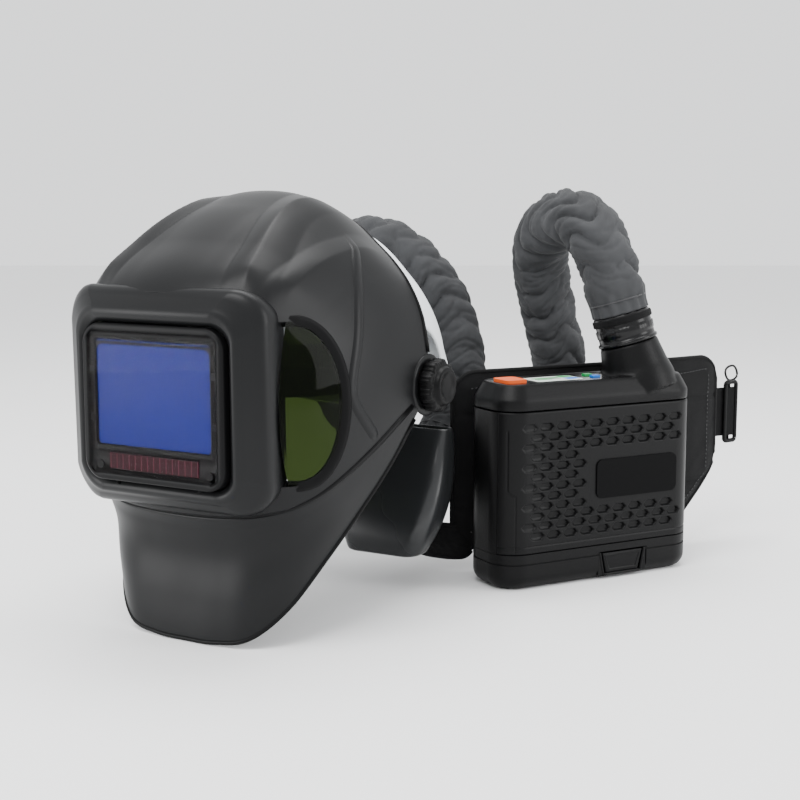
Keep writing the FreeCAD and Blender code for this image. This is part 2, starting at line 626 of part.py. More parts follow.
def strip(points, thick, low, high):
    """An upright strip that follows a plan route and is thick to the route's left."""
    run = [Vector(x, y, low) for x, y in points]
    curve = Part.BSplineCurve()
    curve.interpolate(run)
    away = []
    for point in run:
        tangent = curve.tangent(curve.parameter(point))[0]
        away.append(point + Vector(-tangent.y, tangent.x, 0) * thick)
    other = Part.BSplineCurve()
    other.interpolate(away)
    ends = [Part.LineSegment(run[0], away[0]).toShape(), Part.LineSegment(run[-1], away[-1]).toShape()]
    face = Part.Face(Part.Wire(Part.sortEdges([curve.toShape(), other.toShape(), *ends])[0]))
    return face.extrude(Vector(0, 0, high - low))


PAD_ROUTE = [(-104, 48), (-86, 42), (-60, 39), (0, 37.6), (70, 37.6), (135, 38.5), (190, 44)]
TONGUE_ROUTE = [(-124, 88), (-118, 66), (-104, 48), (-86, 42), (-60, 39), (0, 37.6)]


def build_belt():
    """Belt pad, webbing, bracket and small hardware."""
    thick, low, high = size("pad_thick"), size("pad_low"), size("pad_high")
    pad = strip(PAD_ROUTE, thick, low, high).fuse(strip(TONGUE_ROUTE, thick, 13, 43))
    node("belt_pad", shaped("belt_pad", pad.removeSplitter()), BLOWER)
    route = [(x, y + thick + 0.5) for x, y in PAD_ROUTE[2:]] + [(222, 52)]
    middle = (low + high) / 2 + 22
    half = size("strap_width") / 2
    node("belt_strap", shaped("belt_strap", strip(route, size("strap_thick"), middle - half, middle + half)),
         BLOWER)
    plate = primitive("Box", "bracket_plate", spot(-60, 33.1, 60), Length=120, Width=4.2, Height=84)
    slot = primitive("Box", "bracket_slot", spot(-40, 30, 82), Length=80, Width=10, Height=40)
    node("belt_bracket", combine("Cut", "bracket", plate, slot), BLOWER)
    outer = primitive("Box", "slide_outer", spot(205, 44, middle - 31), Length=16, Width=16, Height=62)
    inner = primitive("Box", "slide_inner", spot(200, 46.5, middle - 27), Length=30, Width=11, Height=54)
    node("strap_slide", combine("Cut", "slide", outer, inner), BLOWER)
    wire = primitive("Torus", "wire", spot(196, 32.5, high - 16, AXIS_X, 90), Radius1=6.5, Radius2=1.0)
    node("wire_ring", wire, BLOWER)
    snap_place = facing((-122.0, 77.0, 28), (-1, -0.27, 0))
    snap = primitive("Cylinder", "snap_disc", snap_place, Radius=6, Height=2.6)
    node("snap_fastener", snap, BLOWER)


# The hose, from the blower's cuff to the helmet's, by the points its route would take with sharp corners
HOSE_ROUTE = [
    (170, 122, 310), (146, 158, 316), (130, 196, 284), (142, 208, 226), (160, 212, 160), (148, 216, 96),
    (95, 218, 56), (28, 214, 62), (-32, 204, 105), (-68, 190, 168), (-84, 178, 230), (-62, 164, 282),
    (-8, 156, 290), (34, 152, 248), (55, 150, 188),
]


def build_hose():
    """The hose in its fabric cover: straight runs joined by tangent arcs."""
    first = BLOWER.multVec(COLLAR_BASE + COLLAR_AXIS * (size("collar_length") + 0.4))
    last = HELMET.multVec(PORT_START + PORT_AXIS * (PORT_REACH + 0.4 + size("collar_length")))
    start_way = BLOWER.Rotation.multVec(COLLAR_AXIS)
    end_way = HELMET.Rotation.multVec(PORT_AXIS)
    inner = [Vector(*p) + STAND for p in HOSE_ROUTE]
    points = [first, first + start_way * 40, *inner, last + end_way * 40, last]
    print("hose ends", [round(v, 1) for v in first], [round(v, 1) for v in points[1]],
          [round(v, 1) for v in points[-2]], [round(v, 1) for v in last])
    runs = [(b - a).Length for a, b in zip(points, points[1:])]
    edges, at, radii, turns = [], points[0], [], []
    for i in range(1, len(points) - 1):
        back, on = (points[i - 1] - points[i]).normalize(), (points[i + 1] - points[i]).normalize()
        turn = math.pi - back.getAngle(on)
        trim = 0.45 * min(runs[i - 1], runs[i])
        radii.append(round(trim / math.tan(turn / 2)))
        turns.append(round(math.degrees(turn)))
        a, b = points[i] + back * trim, points[i] + on * trim
        centre_way = (back + on).normalize()
        reach = trim / math.sin(turn / 2) if turn < 0.01 else trim / math.tan(turn / 2)
        centre = points[i] + centre_way * (reach / math.cos(turn / 2))
        middle = centre - centre_way * reach
        edges.append(Part.LineSegment(at, a).toShape())
        edges.append(Part.Arc(a, middle, b).toShape())
        at = b
    edges.append(Part.LineSegment(at, points[-1]).toShape())
    path = Part.Wire(edges)
    radius = size("sleeve_radius") - 0.5
    section = Part.Wire(Part.Circle(first, start_way, radius).toShape())
    solid = path.makePipeShell([section], True, False)
    print("hose runs", [round(r) for r in runs], "turns", turns, "radii", radii)
    print("hose length", round(path.Length), "volume share",
          round(solid.Volume / (math.pi * radius ** 2 * path.Length), 4))
    node("breathing_hose", shaped("breathing_hose", solid))


build_case()
build_cap()
build_battery()
build_outlet()
build_belt()
build_hose()

loose = ("breathing_hose", "hose_cuff_helmet", "hose_cuff_blower", "cuff_band_helmet", "cuff_band_blower")
whole = FreeCAD.BoundBox()
for name, thing in nodes.items():
    if name not in loose:
        whole.add(thing.Shape.BoundBox)
print("centre of the whole", round(whole.Center.x, 3), round(whole.Center.y, 3))
print("lowest point", round(whole.ZMin, 3))
for name, thing in nodes.items():
    broken = {"Invalid", "Error"} & set(thing.State)
    if broken or thing.Shape.isNull() or not thing.Shape.isValid() or len(thing.Shape.Solids) != 1:
        raise RuntimeError(f"{name} is not one good solid")
    thing.Shape.exportStep(f"parts/{name}.step")
print(len(nodes), "parts written")
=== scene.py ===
"""Powered air respirator: finished surfaces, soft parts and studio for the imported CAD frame.

The hood and the headgear are drawn about the tilt axis (x to the wearer's left, y to the back, z up), the
blower and the belt about the middle of the blower's base (x to the right, y to the back, z up). Both
sets of axes come from the record's joints and mounts. Metres throughout.
"""

import functools
import json
import math

import bmesh
import bpy
from mathutils import Matrix, Vector, noise


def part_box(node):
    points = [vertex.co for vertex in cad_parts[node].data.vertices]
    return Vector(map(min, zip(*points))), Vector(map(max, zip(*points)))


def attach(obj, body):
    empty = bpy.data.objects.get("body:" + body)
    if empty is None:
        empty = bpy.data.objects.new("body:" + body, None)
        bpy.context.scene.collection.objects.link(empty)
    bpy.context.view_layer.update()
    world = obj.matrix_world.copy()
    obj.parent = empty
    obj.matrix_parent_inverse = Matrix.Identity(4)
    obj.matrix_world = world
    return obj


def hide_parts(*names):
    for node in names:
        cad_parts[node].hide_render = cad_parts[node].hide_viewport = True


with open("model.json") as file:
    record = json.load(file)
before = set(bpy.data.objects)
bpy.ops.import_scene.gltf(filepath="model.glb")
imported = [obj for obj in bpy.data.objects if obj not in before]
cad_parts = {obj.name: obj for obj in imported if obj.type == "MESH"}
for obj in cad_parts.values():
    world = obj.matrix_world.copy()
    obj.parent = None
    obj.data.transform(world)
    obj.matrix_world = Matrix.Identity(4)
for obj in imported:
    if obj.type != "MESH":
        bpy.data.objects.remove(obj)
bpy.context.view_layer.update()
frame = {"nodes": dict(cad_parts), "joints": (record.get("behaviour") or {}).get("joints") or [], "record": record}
JOINTS = {joint["name"]: joint for joint in frame["joints"]}
MOUNTS = {mount["name"]: mount for mount in frame["record"]["mounts"]}
MM = 0.001


# ---------------------------------------------------------------- places
def axes_at(origin, x_way, y_way):
    """A matrix with its origin there and its x and y along those ways."""
    x, y = Vector(x_way).normalized(), Vector(y_way).normalized()
    z = x.cross(y)
    turn = Matrix((x, y, z)).transposed().to_4x4()
    return Matrix.Translation(Vector(origin)) @ turn


UP = Vector((0, 0, 1))
tilt = JOINTS["hood_tilt"]
HELMET = axes_at(tilt["pos_m"], -Vector(tilt["axis"]), UP.cross(-Vector(tilt["axis"])))
back = -Vector(JOINTS["cover_pull"]["axis"])
BLOWER = axes_at(MOUNTS["base_face"]["pos_m"], back.cross(UP), back)


# ---------------------------------------------------------------- materials
def node_of(tree, kind, **settings):
    made = tree.nodes.new(kind)
    for key, value in settings.items():
        if key in made.inputs:
            made.inputs[key].default_value = value
        else:
            setattr(made, key, value)
    return made


class Finish:
    """A procedural material: a Principled shader plus whatever is linked into it."""

    def __init__(self, name, color, rough=0.5, **sockets):
        self.material = bpy.data.materials.new(name)
        self.material.use_nodes = True
        self.tree = self.material.node_tree
        self.shader = self.tree.nodes["Principled BSDF"]
        self.color = (*color, 1.0)
        self.shader.inputs["Base Color"].default_value = self.color
        self.shader.inputs["Roughness"].default_value = rough
        self.rough = rough
        for socket, value in sockets.items():
            self.shader.inputs[socket.replace("_", " ")].default_value = value
        self.place = self.tree.nodes.new("ShaderNodeTexCoord").outputs["Object"]
        self.normal = None

    def link(self, out, socket):
        self.tree.links.new(out, socket)

    def grain(self, scale, detail=4.0, stretch=None):
        """Fine noise in object space, stretched if asked."""
        place = self.place
        if stretch:
            mapping = node_of(self.tree, "ShaderNodeMapping")
            mapping.inputs["Scale"].default_value = stretch
            self.link(place, mapping.inputs["Vector"])
            place = mapping.outputs["Vector"]
        made = node_of(self.tree, "ShaderNodeTexNoise", Scale=scale, Detail=detail)
        self.link(place, made.inputs["Vector"])
        return made.outputs["Fac"]

    def bump(self, height, strength, distance=0.001):
        made = node_of(self.tree, "ShaderNodeBump", Strength=strength, Distance=distance)
        self.link(height, made.inputs["Height"])
        if self.normal:
            self.link(self.normal, made.inputs["Normal"])
        self.normal = made.outputs["Normal"]
        self.link(self.normal, self.shader.inputs["Normal"])
        return self

    def ramp(self, value, low, high, a, b):
        """Two colours over a stretch of a value."""
        made = self.tree.nodes.new("ShaderNodeValToRGB")
        made.color_ramp.elements[0].position, made.color_ramp.elements[1].position = low, high
        made.color_ramp.elements[0].color, made.color_ramp.elements[1].color = (*a, 1), (*b, 1)
        self.link(value, made.inputs["Fac"])
        return made.outputs["Color"]

    def vary(self, scale=6.0, amount=0.15, rough_amount=0.05):
        """Slow patches of slightly lighter, duller surface."""
        patches = self.grain(scale, 3.0)
        low = [c * (1 - amount) for c in self.color[:3]]
        high = [min(1.0, c * (1 + amount)) for c in self.color[:3]]
        self.link(self.ramp(patches, 0.3, 0.7, low, high), self.shader.inputs["Base Color"])
        spread = node_of(self.tree, "ShaderNodeMapRange")
        spread.inputs["To Min"].default_value = max(0.02, self.rough - rough_amount)
        spread.inputs["To Max"].default_value = self.rough + rough_amount
        self.link(patches, spread.inputs["Value"])
        self.link(spread.outputs["Result"], self.shader.inputs["Roughness"])
        return self

    def wave(self, scale, direction="X", profile="SIN", distortion=0.0, spin=(0, 0, 0)):
        mapping = node_of(self.tree, "ShaderNodeMapping")
        mapping.inputs["Rotation"].default_value = spin
        self.link(self.place, mapping.inputs["Vector"])
        made = node_of(self.tree, "ShaderNodeTexWave", Scale=scale, Distortion=distortion)
        made.bands_direction, made.wave_profile = direction, profile
        self.link(mapping.outputs["Vector"], made.inputs["Vector"])
        return made.outputs["Fac"]

    def weave(self, scale, strength, spin=(0, 0, 0)):
        """Crossed threads in two directions."""
        across = self.wave(scale, "X", spin=spin)
        along = self.wave(scale, "Z", spin=spin)
        crossed = node_of(self.tree, "ShaderNodeMath", operation="MAXIMUM")
        self.link(across, crossed.inputs[0])
        self.link(along, crossed.inputs[1])
        return self.bump(crossed.outputs[0], strength, 0.0004)


def moulded(name, color, rough, texture=0.12, scale=900.0, shine=0.5):
    """Moulded plastic: a fine spark-eroded texture and slow variation."""
    made = Finish(name, color, rough, Specular_IOR_Level=shine).vary(7.0, 0.1, 0.04)
    return made.bump(made.grain(scale, 3.0), texture, 0.0003).material


def clear(name, color, rough, through, **sockets):
    made = Finish(name, color, rough, Transmission_Weight=through, **sockets)
    return made.vary(9.0, 0.03, 0.004).material


def fabric(name, color, threads, strength, sheen=0.25, rough=0.85):
    made = Finish(name, color, rough, Sheen_Weight=sheen, Sheen_Roughness=0.4,
                  Specular_IOR_Level=0.15).vary(25.0, 0.22, 0.05)
    made.weave(threads, strength, (0.3, 0.2, 0.5))
    return made.bump(made.grain(400.0, 3.0), 0.15, 0.0005).material


def metal(name, color, rough):
    made = Finish(name, color, rough, Metallic=1.0)
    return made.bump(made.grain(500.0, 2.0, (1, 1, 12)), 0.08, 0.0002).material


def striped(name, dark, light, scale):
    """Solar cells: narrow vertical bands, seen across the helmet."""
    made = Finish(name, dark, 0.45, Specular_IOR_Level=0.08)
    turned = (0, 0, -math.atan2(HELMET.col[0][1], HELMET.col[0][0]))
    bands = made.wave(scale, "X", "SAW", spin=turned)
    made.link(made.ramp(bands, 0.12, 0.2, light, dark), made.shader.inputs["Base Color"])
    return made.material


LOOKS = {
    "shell_grey": moulded("hood_satin_grey", (0.0050, 0.0052, 0.0056), 0.36, 0.05, 1400.0, shine=0.15),
    "side_tint": clear("green_tint", (0.018, 0.029, 0.0062), 0.03, 0.96, IOR=1.12),
    "filter_black": moulded("filter_body", (0.0025, 0.0025, 0.0028), 0.42, 0.1, shine=0.10),
    "filter_glass": Finish("blue_filter_glass", (0.0035, 0.008, 0.115), 0.25,
                           Specular_IOR_Level=0.08).vary(4.0, 0.08, 0.02).material,
    "clear_cover": clear("clear_cover", (1.0, 1.0, 1.0), 0.01, 1.0, IOR=1.05),
    "solar": striped("solar_strips", (0.014, 0.0018, 0.0042), (0.060, 0.012, 0.020), 55.0),
    "board_green": moulded("solder_mask", (0.02, 0.12, 0.05), 0.4),
    "sensor": moulded("sensor_window", (0.003, 0.003, 0.004), 0.5, 0.02, shine=0.1),
    "black_plastic": moulded("satin_black", (0.0022, 0.0022, 0.0024), 0.40, 0.12, shine=0.10),
    "steel": metal("brushed_steel", (0.5, 0.5, 0.52), 0.32),
    "headgear_grey": moulded("headgear_grey", (0.09, 0.09, 0.1), 0.5),
    "brow_foam": fabric("brow_cloth", (0.03, 0.03, 0.032), 900.0, 0.3),
    "duct_white": moulded("milky_duct", (0.74, 0.77, 0.79), 0.4, 0.03, 300.0),
    "duct_grey": moulded("smoky_duct", (0.016, 0.017, 0.018), 0.28, 0.03, 300.0, shine=0.35),
    "case_black": moulded("case_texture", (0.0022, 0.0022, 0.0024), 0.40, 0.45, 700.0, shine=0.12),
    "cover_black": moulded("cover_texture", (0.0024, 0.0024, 0.0026), 0.40, 0.4, 700.0, shine=0.12),
    "label": moulded("blank_plate", (0.0016, 0.0016, 0.0018), 0.5, 0.03, shine=0.05),
    "filter_paper": fabric("pleated_paper", (0.7, 0.7, 0.66), 300.0, 0.4, 0.0),
    "fan_plastic": moulded("fan_plastic", (0.06, 0.06, 0.065), 0.45),
    "motor": metal("motor_can", (0.45, 0.45, 0.45), 0.35),
    "panel_black": moulded("panel_gloss", (0.005, 0.005, 0.0055), 0.2, 0.02, shine=0.3),
    "screen": moulded("screen_glass", (0.80, 0.86, 0.80), 0.2, 0.01),
    "button_orange": moulded("orange_rubber", (0.62, 0.085, 0.008), 0.5, 0.1, shine=0.2),
    "key_green": moulded("green_key", (0.010, 0.30, 0.070), 0.4, 0.05, shine=0.2),
    "key_blue": moulded("blue_key", (0.008, 0.14, 0.55), 0.4, 0.05, shine=0.2),
    "cuff_black": moulded("cuff_satin", (0.0022, 0.0022, 0.0025), 0.26, 0.1, shine=0.22),
    "elastic": fabric("ribbed_elastic", (0.003, 0.003, 0.0033), 1400.0, 0.5, 0.01),
    "hose_fabric": fabric("hose_cloth", (0.036, 0.037, 0.039), 1300.0, 0.3, 0.06, 0.75),
    "pad_fabric": fabric("pad_nylon", (0.0028, 0.0028, 0.0031), 1000.0, 0.5, 0.01, 0.7),
    "webbing": fabric("webbing_weave", (0.0030, 0.0030, 0.0033), 700.0, 0.6, 0.01, 0.7),
}
THREAD = fabric("stitch_thread", (0.05, 0.05, 0.052), 2500.0, 0.3)
RUBBER = moulded("window_seal", (0.0022, 0.0022, 0.0024), 0.5, 0.15, shine=0.08)

SLOT_OF = {part["node"]: part["material_slot"] for part in frame["record"]["subparts"]}
for name, shown in frame["nodes"].items():
    shown.data.materials.clear()
    shown.data.materials.append(LOOKS[SLOT_OF[name]])


# ---------------------------------------------------------------- mesh helpers
def body_for(node):
    return next(body for body, members in frame["record"]["behaviour"]["bodies"].items() if node in members)


def outward_mesh(name, verts, faces, place=None):
    """A mesh from points in a module's axes, with its faces turned outward."""
    mesh = bpy.data.meshes.new(name)
    mesh.from_pydata([tuple(v) for v in verts], [], faces)
    if place is not None:
        mesh.transform(place)
    turned = bmesh.new()
    turned.from_mesh(mesh)
    bmesh.ops.recalc_face_normals(turned, faces=turned.faces)
    turned.to_mesh(mesh)
    turned.free()
    return mesh


def in_scene(name, data):
    """A new object in the scene that holds a mesh, a curve, a lamp or a camera."""
    made = bpy.data.objects.new(name, data)
    bpy.context.scene.collection.objects.link(made)
    return made


def evaluated_mesh(made):
    """An object's mesh with its modifiers applied, or the line of a curve with no bevel."""
    bpy.context.view_layer.update()
    return bpy.data.meshes.new_from_object(made.evaluated_get(bpy.context.evaluated_depsgraph_get()))


def piece(name, verts, faces, body, slot, place=None, look=None, replaces=(), smooth=True):
    """A finished mesh piece from points in a module's axes."""
    mesh = outward_mesh(name, verts, faces, place)
    made = in_scene(name, mesh)
    mesh.materials.append(look or LOOKS[slot])
    mesh.polygons.foreach_set("use_smooth", [smooth] * len(mesh.polygons))
    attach(made, body)
    if replaces:
        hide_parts(*replaces)
    return made


def grid_faces(rows, columns, closed=False, joined=False):
    """Quads of a grid; closed joins each row's ends, and joined the last row to the first."""
    faces = []
    for i in range(rows if joined else rows - 1):
        here, above = i * columns, (i + 1) % rows * columns
        for j in range(columns if closed else columns - 1):
            k = (j + 1) % columns
            faces.append((here + j, here + k, above + k, above + j))
    return faces


def slab_faces(rows, columns):
    """Faces of a wall whose two sides are one grid after the other, and the points of its rim in order."""
    count = rows * columns
    faces = grid_faces(rows, columns)
    faces += [tuple(k + count for k in quad[::-1]) for quad in faces]
    rim = list(range(columns)) + [i * columns + columns - 1 for i in range(1, rows)]
    rim += [(rows - 1) * columns + j for j in range(columns - 2, -1, -1)]
    rim += [i * columns for i in range(rows - 2, 0, -1)]
    faces += [(b, a, a + count, b + count) for a, b in zip(rim, rim[1:] + rim[:1])]
    return faces, rim


def bevel(made, width, segments=3, angle=35):
    """Rounds a piece's hard edges."""
    rounded = made.modifiers.new("edges", "BEVEL")
    rounded.width, rounded.segments, rounded.limit_method = width, segments, "ANGLE"
    rounded.angle_limit = math.radians(angle)
    rounded.harden_normals = False


def lathe(profile, around=64, lobe=None):
    """Points and faces of a turned form about local Z, from (radius, height) pairs."""
    verts = []
    for radius, height in profile:
        for step in range(around):
            turn = 2 * math.pi * step / around
            r = radius + (lobe(turn, height, radius) if lobe else 0.0)
            verts.append((r * math.cos(turn), r * math.sin(turn), height))
    return verts, grid_faces(len(profile), around, closed=True)


def looking(origin, way):
    """A matrix whose local Z looks along a way, in the same axes as origin."""
    way = Vector(way).normalized()
    return Matrix.Translation(Vector(origin)) @ way.to_track_quat("Z", "Y").to_matrix().to_4x4()


def circle(point, side, over, radius, steps):
    """Points round a place, in the plane of two ways."""
    turns = [2 * math.pi * k / steps for k in range(steps)]
    return [point + (math.cos(turn) * side + math.sin(turn) * over) * radius for turn in turns]


def tube(points, radius, sides=8, closed=False):
    """Points and faces of a round strand along points."""
    verts = []
    count = len(points)
    for i, point in enumerate(points):
        before = points[i - 1] if i or closed else points[i]
        after = points[(i + 1) % count] if closed or i + 1 < count else points[i]
        along = (Vector(after) - Vector(before)).normalized()
        side = along.orthogonal() if abs(along.z) > 0.95 else along.cross(UP)
        side.normalize()
        verts += circle(Vector(point), side, side.cross(along), radius, sides)
    faces = grid_faces(count, sides, closed=True, joined=closed)
    if not closed:
        faces += [tuple(range(sides))[::-1], tuple(range((count - 1) * sides, count * sides))]
    return verts, faces


def knots_of(route):
    """The distance along a route at each of its points."""
    knots = [0.0]
    for a, b in zip(route, route[1:]):
        knots.append(knots[-1] + math.dist(a, b))
    return knots


def route_point(knots, route, at):
    """The point of the smooth plane curve through a route, at a distance along it."""
    return Vector([curve_through(knots, [p[i] for p in route], at) for i in (0, 1)])


def smoothstep(value, low, high):
    share = min(1.0, max(0.0, (value - low) / (high - low)))
    return share * share * (3 - 2 * share)


# ---------------------------------------------------------------- the hood's surface
# Distances from the tilt axis in planes through it: the plane's angle above straight ahead, then the
# distance in millimetres at each share of the half width.
SPREAD = (0.0, 0.22, 0.44, 0.62, 0.74, 0.85, 0.94, 1.0)
SECTIONS = {
    -51: (238, 237, 229, 200, 158, 113, 68, 14),
    -46: (212, 212, 207, 187, 156, 116, 71, 14),
    -40: (188, 187, 183, 170, 150, 120, 74, 14),
    -34: (178, 177, 173, 163, 149, 123, 76, 14),
    -30: (176, 175, 171, 162, 150, 125, 77, 14),
    -15: (172, 171, 169, 163, 148, 122, 76, 14),
    0: (172, 171, 169, 163, 146, 118, 74, 14),
    12: (180, 178, 174, 165, 145, 116, 72, 14),
    24: (192, 190, 184, 172, 144, 112, 70, 14),
    42: (172, 170, 165, 148, 127, 99, 63, 14),
    60: (161, 159, 151, 130, 112, 89, 57, 14),
    76: (155, 152, 141, 119, 103, 82, 53, 14),
    93: (139, 136, 125, 107, 93, 75, 50, 14),
}
ANGLES = sorted(SECTIONS)
HALF = 127 * MM


def curve_through(xs, ys, x):
    """A smooth curve through unevenly spaced points, with gentle end slopes."""
    i = max(k for k in range(len(xs) - 1) if xs[k] <= x or k == 0)
    slopes = []
    for k in (i, i + 1):
        before, after = max(0, k - 1), min(len(xs) - 1, k + 1)
        slopes.append((ys[after] - ys[before]) / (xs[after] - xs[before]))
    span = xs[i + 1] - xs[i]
    t = (x - xs[i]) / span
    return ((2 * t ** 3 - 3 * t ** 2 + 1) * ys[i] + (t ** 3 - 2 * t ** 2 + t) * span * slopes[0]
            + (3 * t ** 2 - 2 * t ** 3) * ys[i + 1] + (t ** 3 - t ** 2) * span * slopes[1])


@functools.lru_cache(maxsize=None)
def section(angle):
    """The whole section at an angle, mirrored: its shares and its distances."""
    columns = [curve_through(ANGLES, [SECTIONS[a][k] for a in ANGLES], angle) for k in range(len(SPREAD))]
    return [-s for s in SPREAD[:0:-1]] + list(SPREAD), columns[:0:-1] + columns


def reach(angle, share):
    """The hood's distance from the axis there, in metres, with its two forehead creases."""
    share = min(abs(share), 1.0)
    smooth = curve_through(*section(angle), share)
    fold = smoothstep(angle, 24, 34) * (1 - smoothstep(angle, 62, 86))
    for place, width, height in ((crease_share(angle, 0), 0.13, 5.2), (crease_share(angle, 1), 0.10, 4.4)):
        smooth += fold * height * max(0.0, 1 - abs(share - place) / width)
    return smooth * MM


def crease_share(angle, which):
    """Where each forehead crease runs, as a share of the half width."""
    if which == 0:
        return 0.52 - 0.16 * smoothstep(angle, 24, 70)
    return 0.69 + 0.02 * smoothstep(angle, 24, 70)


def fan(angle, share, outward=0.0):
    """A point of the hood's surface in the helmet's axes."""
    turn = math.radians(angle)
    r = reach(angle, share) + outward
    return Vector((share * HALF, -r * math.cos(turn), r * math.sin(turn)))


def shell_mesh(low, high, rows, columns, wall):
    """A closed wall over the fan from low to high."""
    shares = [-1 + 2 * j / (columns - 1) for j in range(columns)]
    shares = [0.995 * math.copysign(abs(s) ** 0.8, s) for s in shares]
    angles = [low + (high - low) * i / (rows - 1) for i in range(rows)]
    outer = [fan(angle, s) for angle in angles for s in shares]
    inner = [fan(angle, s, -wall) for angle in angles for s in shares]
    return outer + inner, slab_faces(rows, columns)[0]


def edge_bead(name, angle, widest, steps, inward, radius):
    """A round black bead across the hood at an angle, a little under its surface."""
    edge = [fan(angle, widest * (2 * k / steps - 1), -inward) for k in range(steps + 1)]
    verts, faces = tube(edge, radius)
    piece(name, verts, faces, "hood", "black_plastic", HELMET)


def prism(outline, low, high, axis):
    """A closed prism over an outline, along the axis "X" or "Y", as a hidden cutter."""
    verts = []
    for end in (low, high):
        for a, b in outline:
            verts.append(Vector((end, a, b)) if axis == "X" else Vector((a, end, b)))
    n = len(outline)
    faces = [tuple(range(n)), tuple(range(2 * n - 1, n - 1, -1))]
    faces += [(k, k + n, (k + 1) % n + n, (k + 1) % n) for k in range(n)]
    return in_scene("cutter", outward_mesh("cutter", verts, faces, HELMET))


def carve(made, cutters):
    """Takes the cutters out of a piece for good and deletes them."""
    for cutter in cutters:
        cut = made.modifiers.new("cut", "BOOLEAN")
        cut.operation, cut.object, cut.solver = "DIFFERENCE", cutter, "EXACT"
    result = evaluated_mesh(made)
    made.modifiers.clear()
    made.data = result
    for cutter in cutters:
        bpy.data.objects.remove(cutter)


# the side window in side view: straight at the front frame, round behind
WINDOW_FRONT, WINDOW_TOP, WINDOW_LOW, WINDOW_BULGE = -0.172, 0.058, -0.060, -0.134


def window_outline(grow=0.0, steps=24):
    """The window's outline in side view, anticlockwise from its lower front corner."""
    middle = (WINDOW_TOP + WINDOW_LOW) / 2
    tall = (WINDOW_TOP - WINDOW_LOW) / 2 + grow
    outline = [(WINDOW_FRONT - grow, middle - tall)]
    for k in range(steps + 1):
        turn = math.pi * (k / steps - 0.5)
        outline.append((WINDOW_BULGE + (0.033 + grow) * math.cos(turn), middle + tall * math.sin(turn)))
    outline.append((WINDOW_FRONT - grow, middle + tall))
    return outline


def share_at(y, z):
    """The share of the half width at which the hood's surface passes a side-view point."""
    angle = math.degrees(math.atan2(z, -y))
    r = math.hypot(y, z)
    low, high = 0.3, 0.99
    for _ in range(24):
        middle = (low + high) / 2
        if reach(angle, middle) > r:
            low = middle
        else:
            high = middle
    return (low + high) / 2


FRAME_CURVE = ((-96, -164), (-70, -178), (-35, -185), (0, -187), (35, -185), (70, -178), (96, -164))


def bow(x, z):
    """The front frame's face: bowed across, and leaning back at its top and bottom."""
    y = curve_through([p[0] for p in FRAME_CURVE], [p[1] for p in FRAME_CURVE], x / MM) * MM
    return y + 0.006 * (max(0.0, z - 0.045) / 0.038) ** 2 + 0.013 * (max(0.0, -z - 0.04) / 0.042) ** 1.6


def round_rect(half, top, low, radius, around=128):
    """Points of an upright rectangle with round corners, evenly spread by angle on each corner."""
    quarter = around // 4
    points = []
    for cx, cz, start in ((half - radius, top - radius, 0), (-half + radius, top - radius, 90),
                          (-half + radius, low + radius, 180), (half - radius, low + radius, 270)):
        for k in range(quarter):
            turn = math.radians(start + 90 * k / (quarter - 1))
            points.append((cx + radius * math.cos(turn), cz + radius * math.sin(turn)))
    return points


def ring_solid(rings, depth_at, around=128):
    """Points and faces through rings of (half width, top, low, corner radius, depth) in millimetres."""
    verts = []
    for half, top, low, radius, depth in rings:
        for x, z in round_rect(half * MM, top * MM, low * MM, radius * MM, around):
            verts.append(Vector((x, depth_at(x, z) + depth * MM, z)))
    return verts, grid_faces(len(rings), around, closed=True)


def build_hood():
    frame_hole = [(x * MM, z * MM) for x, z in
                  ((-84, -52), (-84, 60), (-64, 78), (64, 78), (84, 60), (84, -52), (66, -76), (-66, -76))]
    verts, faces = shell_mesh(-29.7, 93, 220, 221, 0.003)
    upper = piece("hood", verts, faces, "hood", "shell_grey", HELMET, replaces=["hood_shell"])
    cutters = [prism(frame_hole, -0.24, -0.10, "Y")]
    for side in (-1, 1):
        ends = sorted((side * 0.06, side * 0.15))
        cutters.append(prism(window_outline(), *ends, "X"))
    carve(upper, cutters)
    for side, word in ((1, "left"), (-1, "right")):
        profile = ((0.0042, 0.0), (0.0232, 0.0), (0.0243, 0.0009), (0.0243, 0.0021), (0.0232, 0.0030),
                   (0.0205, 0.0032), (0.0042, 0.0032), (0.0042, 0.0))
        verts, faces = lathe(profile, 72)
        lug = HELMET @ looking((side * 0.1237, 0, 0), (side, 0, 0))
        piece(f"pivot_boss_{word}", verts, faces, "hood", "shell_grey", lug)
    verts, faces = shell_mesh(-51, -30.3, 40, 121, 0.003)
    piece("chin", verts, faces, "hood", "shell_grey", HELMET, replaces=["chin_guard"])
    edge_bead("hood_rear_bead", 93, 0.98, 80, 0.0014, 0.0021)
    edge_bead("chin_bead", -51, 0.98, 80, 0.0014, 0.0019)
    seal = []
    for depth, angle in ((0.006, -50.5), (0.016, -49), (0.030, -45), (0.040, -38)):
        for k in range(81):
            share = -0.9 + 1.8 * k / 80
            pucker = 0.0016 * math.sin(k * 1.9) + 0.001 * math.sin(k * 0.83 + angle)
            seal.append(fan(angle, share, -depth * (1 - 0.4 * abs(share)) + pucker))
    cloth = piece("face_seal", seal, grid_faces(4, 81), "hood", "brow_foam", HELMET)
    thick = cloth.modifiers.new("thick", "SOLIDIFY")
    thick.thickness = 0.0015


# a cheek band's middle line in side view, y and z in millimetres
BAND_ROUTE = ((-34, 126), (-62, 88), (-84, 40), (-94, 6), (-89, -8), (-66, -35.5))
BAND_PROFILE = ((-1.0, -0.5), (-0.86, 0.1), (-0.52, 1.5), (0.30, 1.1), (0.78, 0.1), (1.0, -0.5))


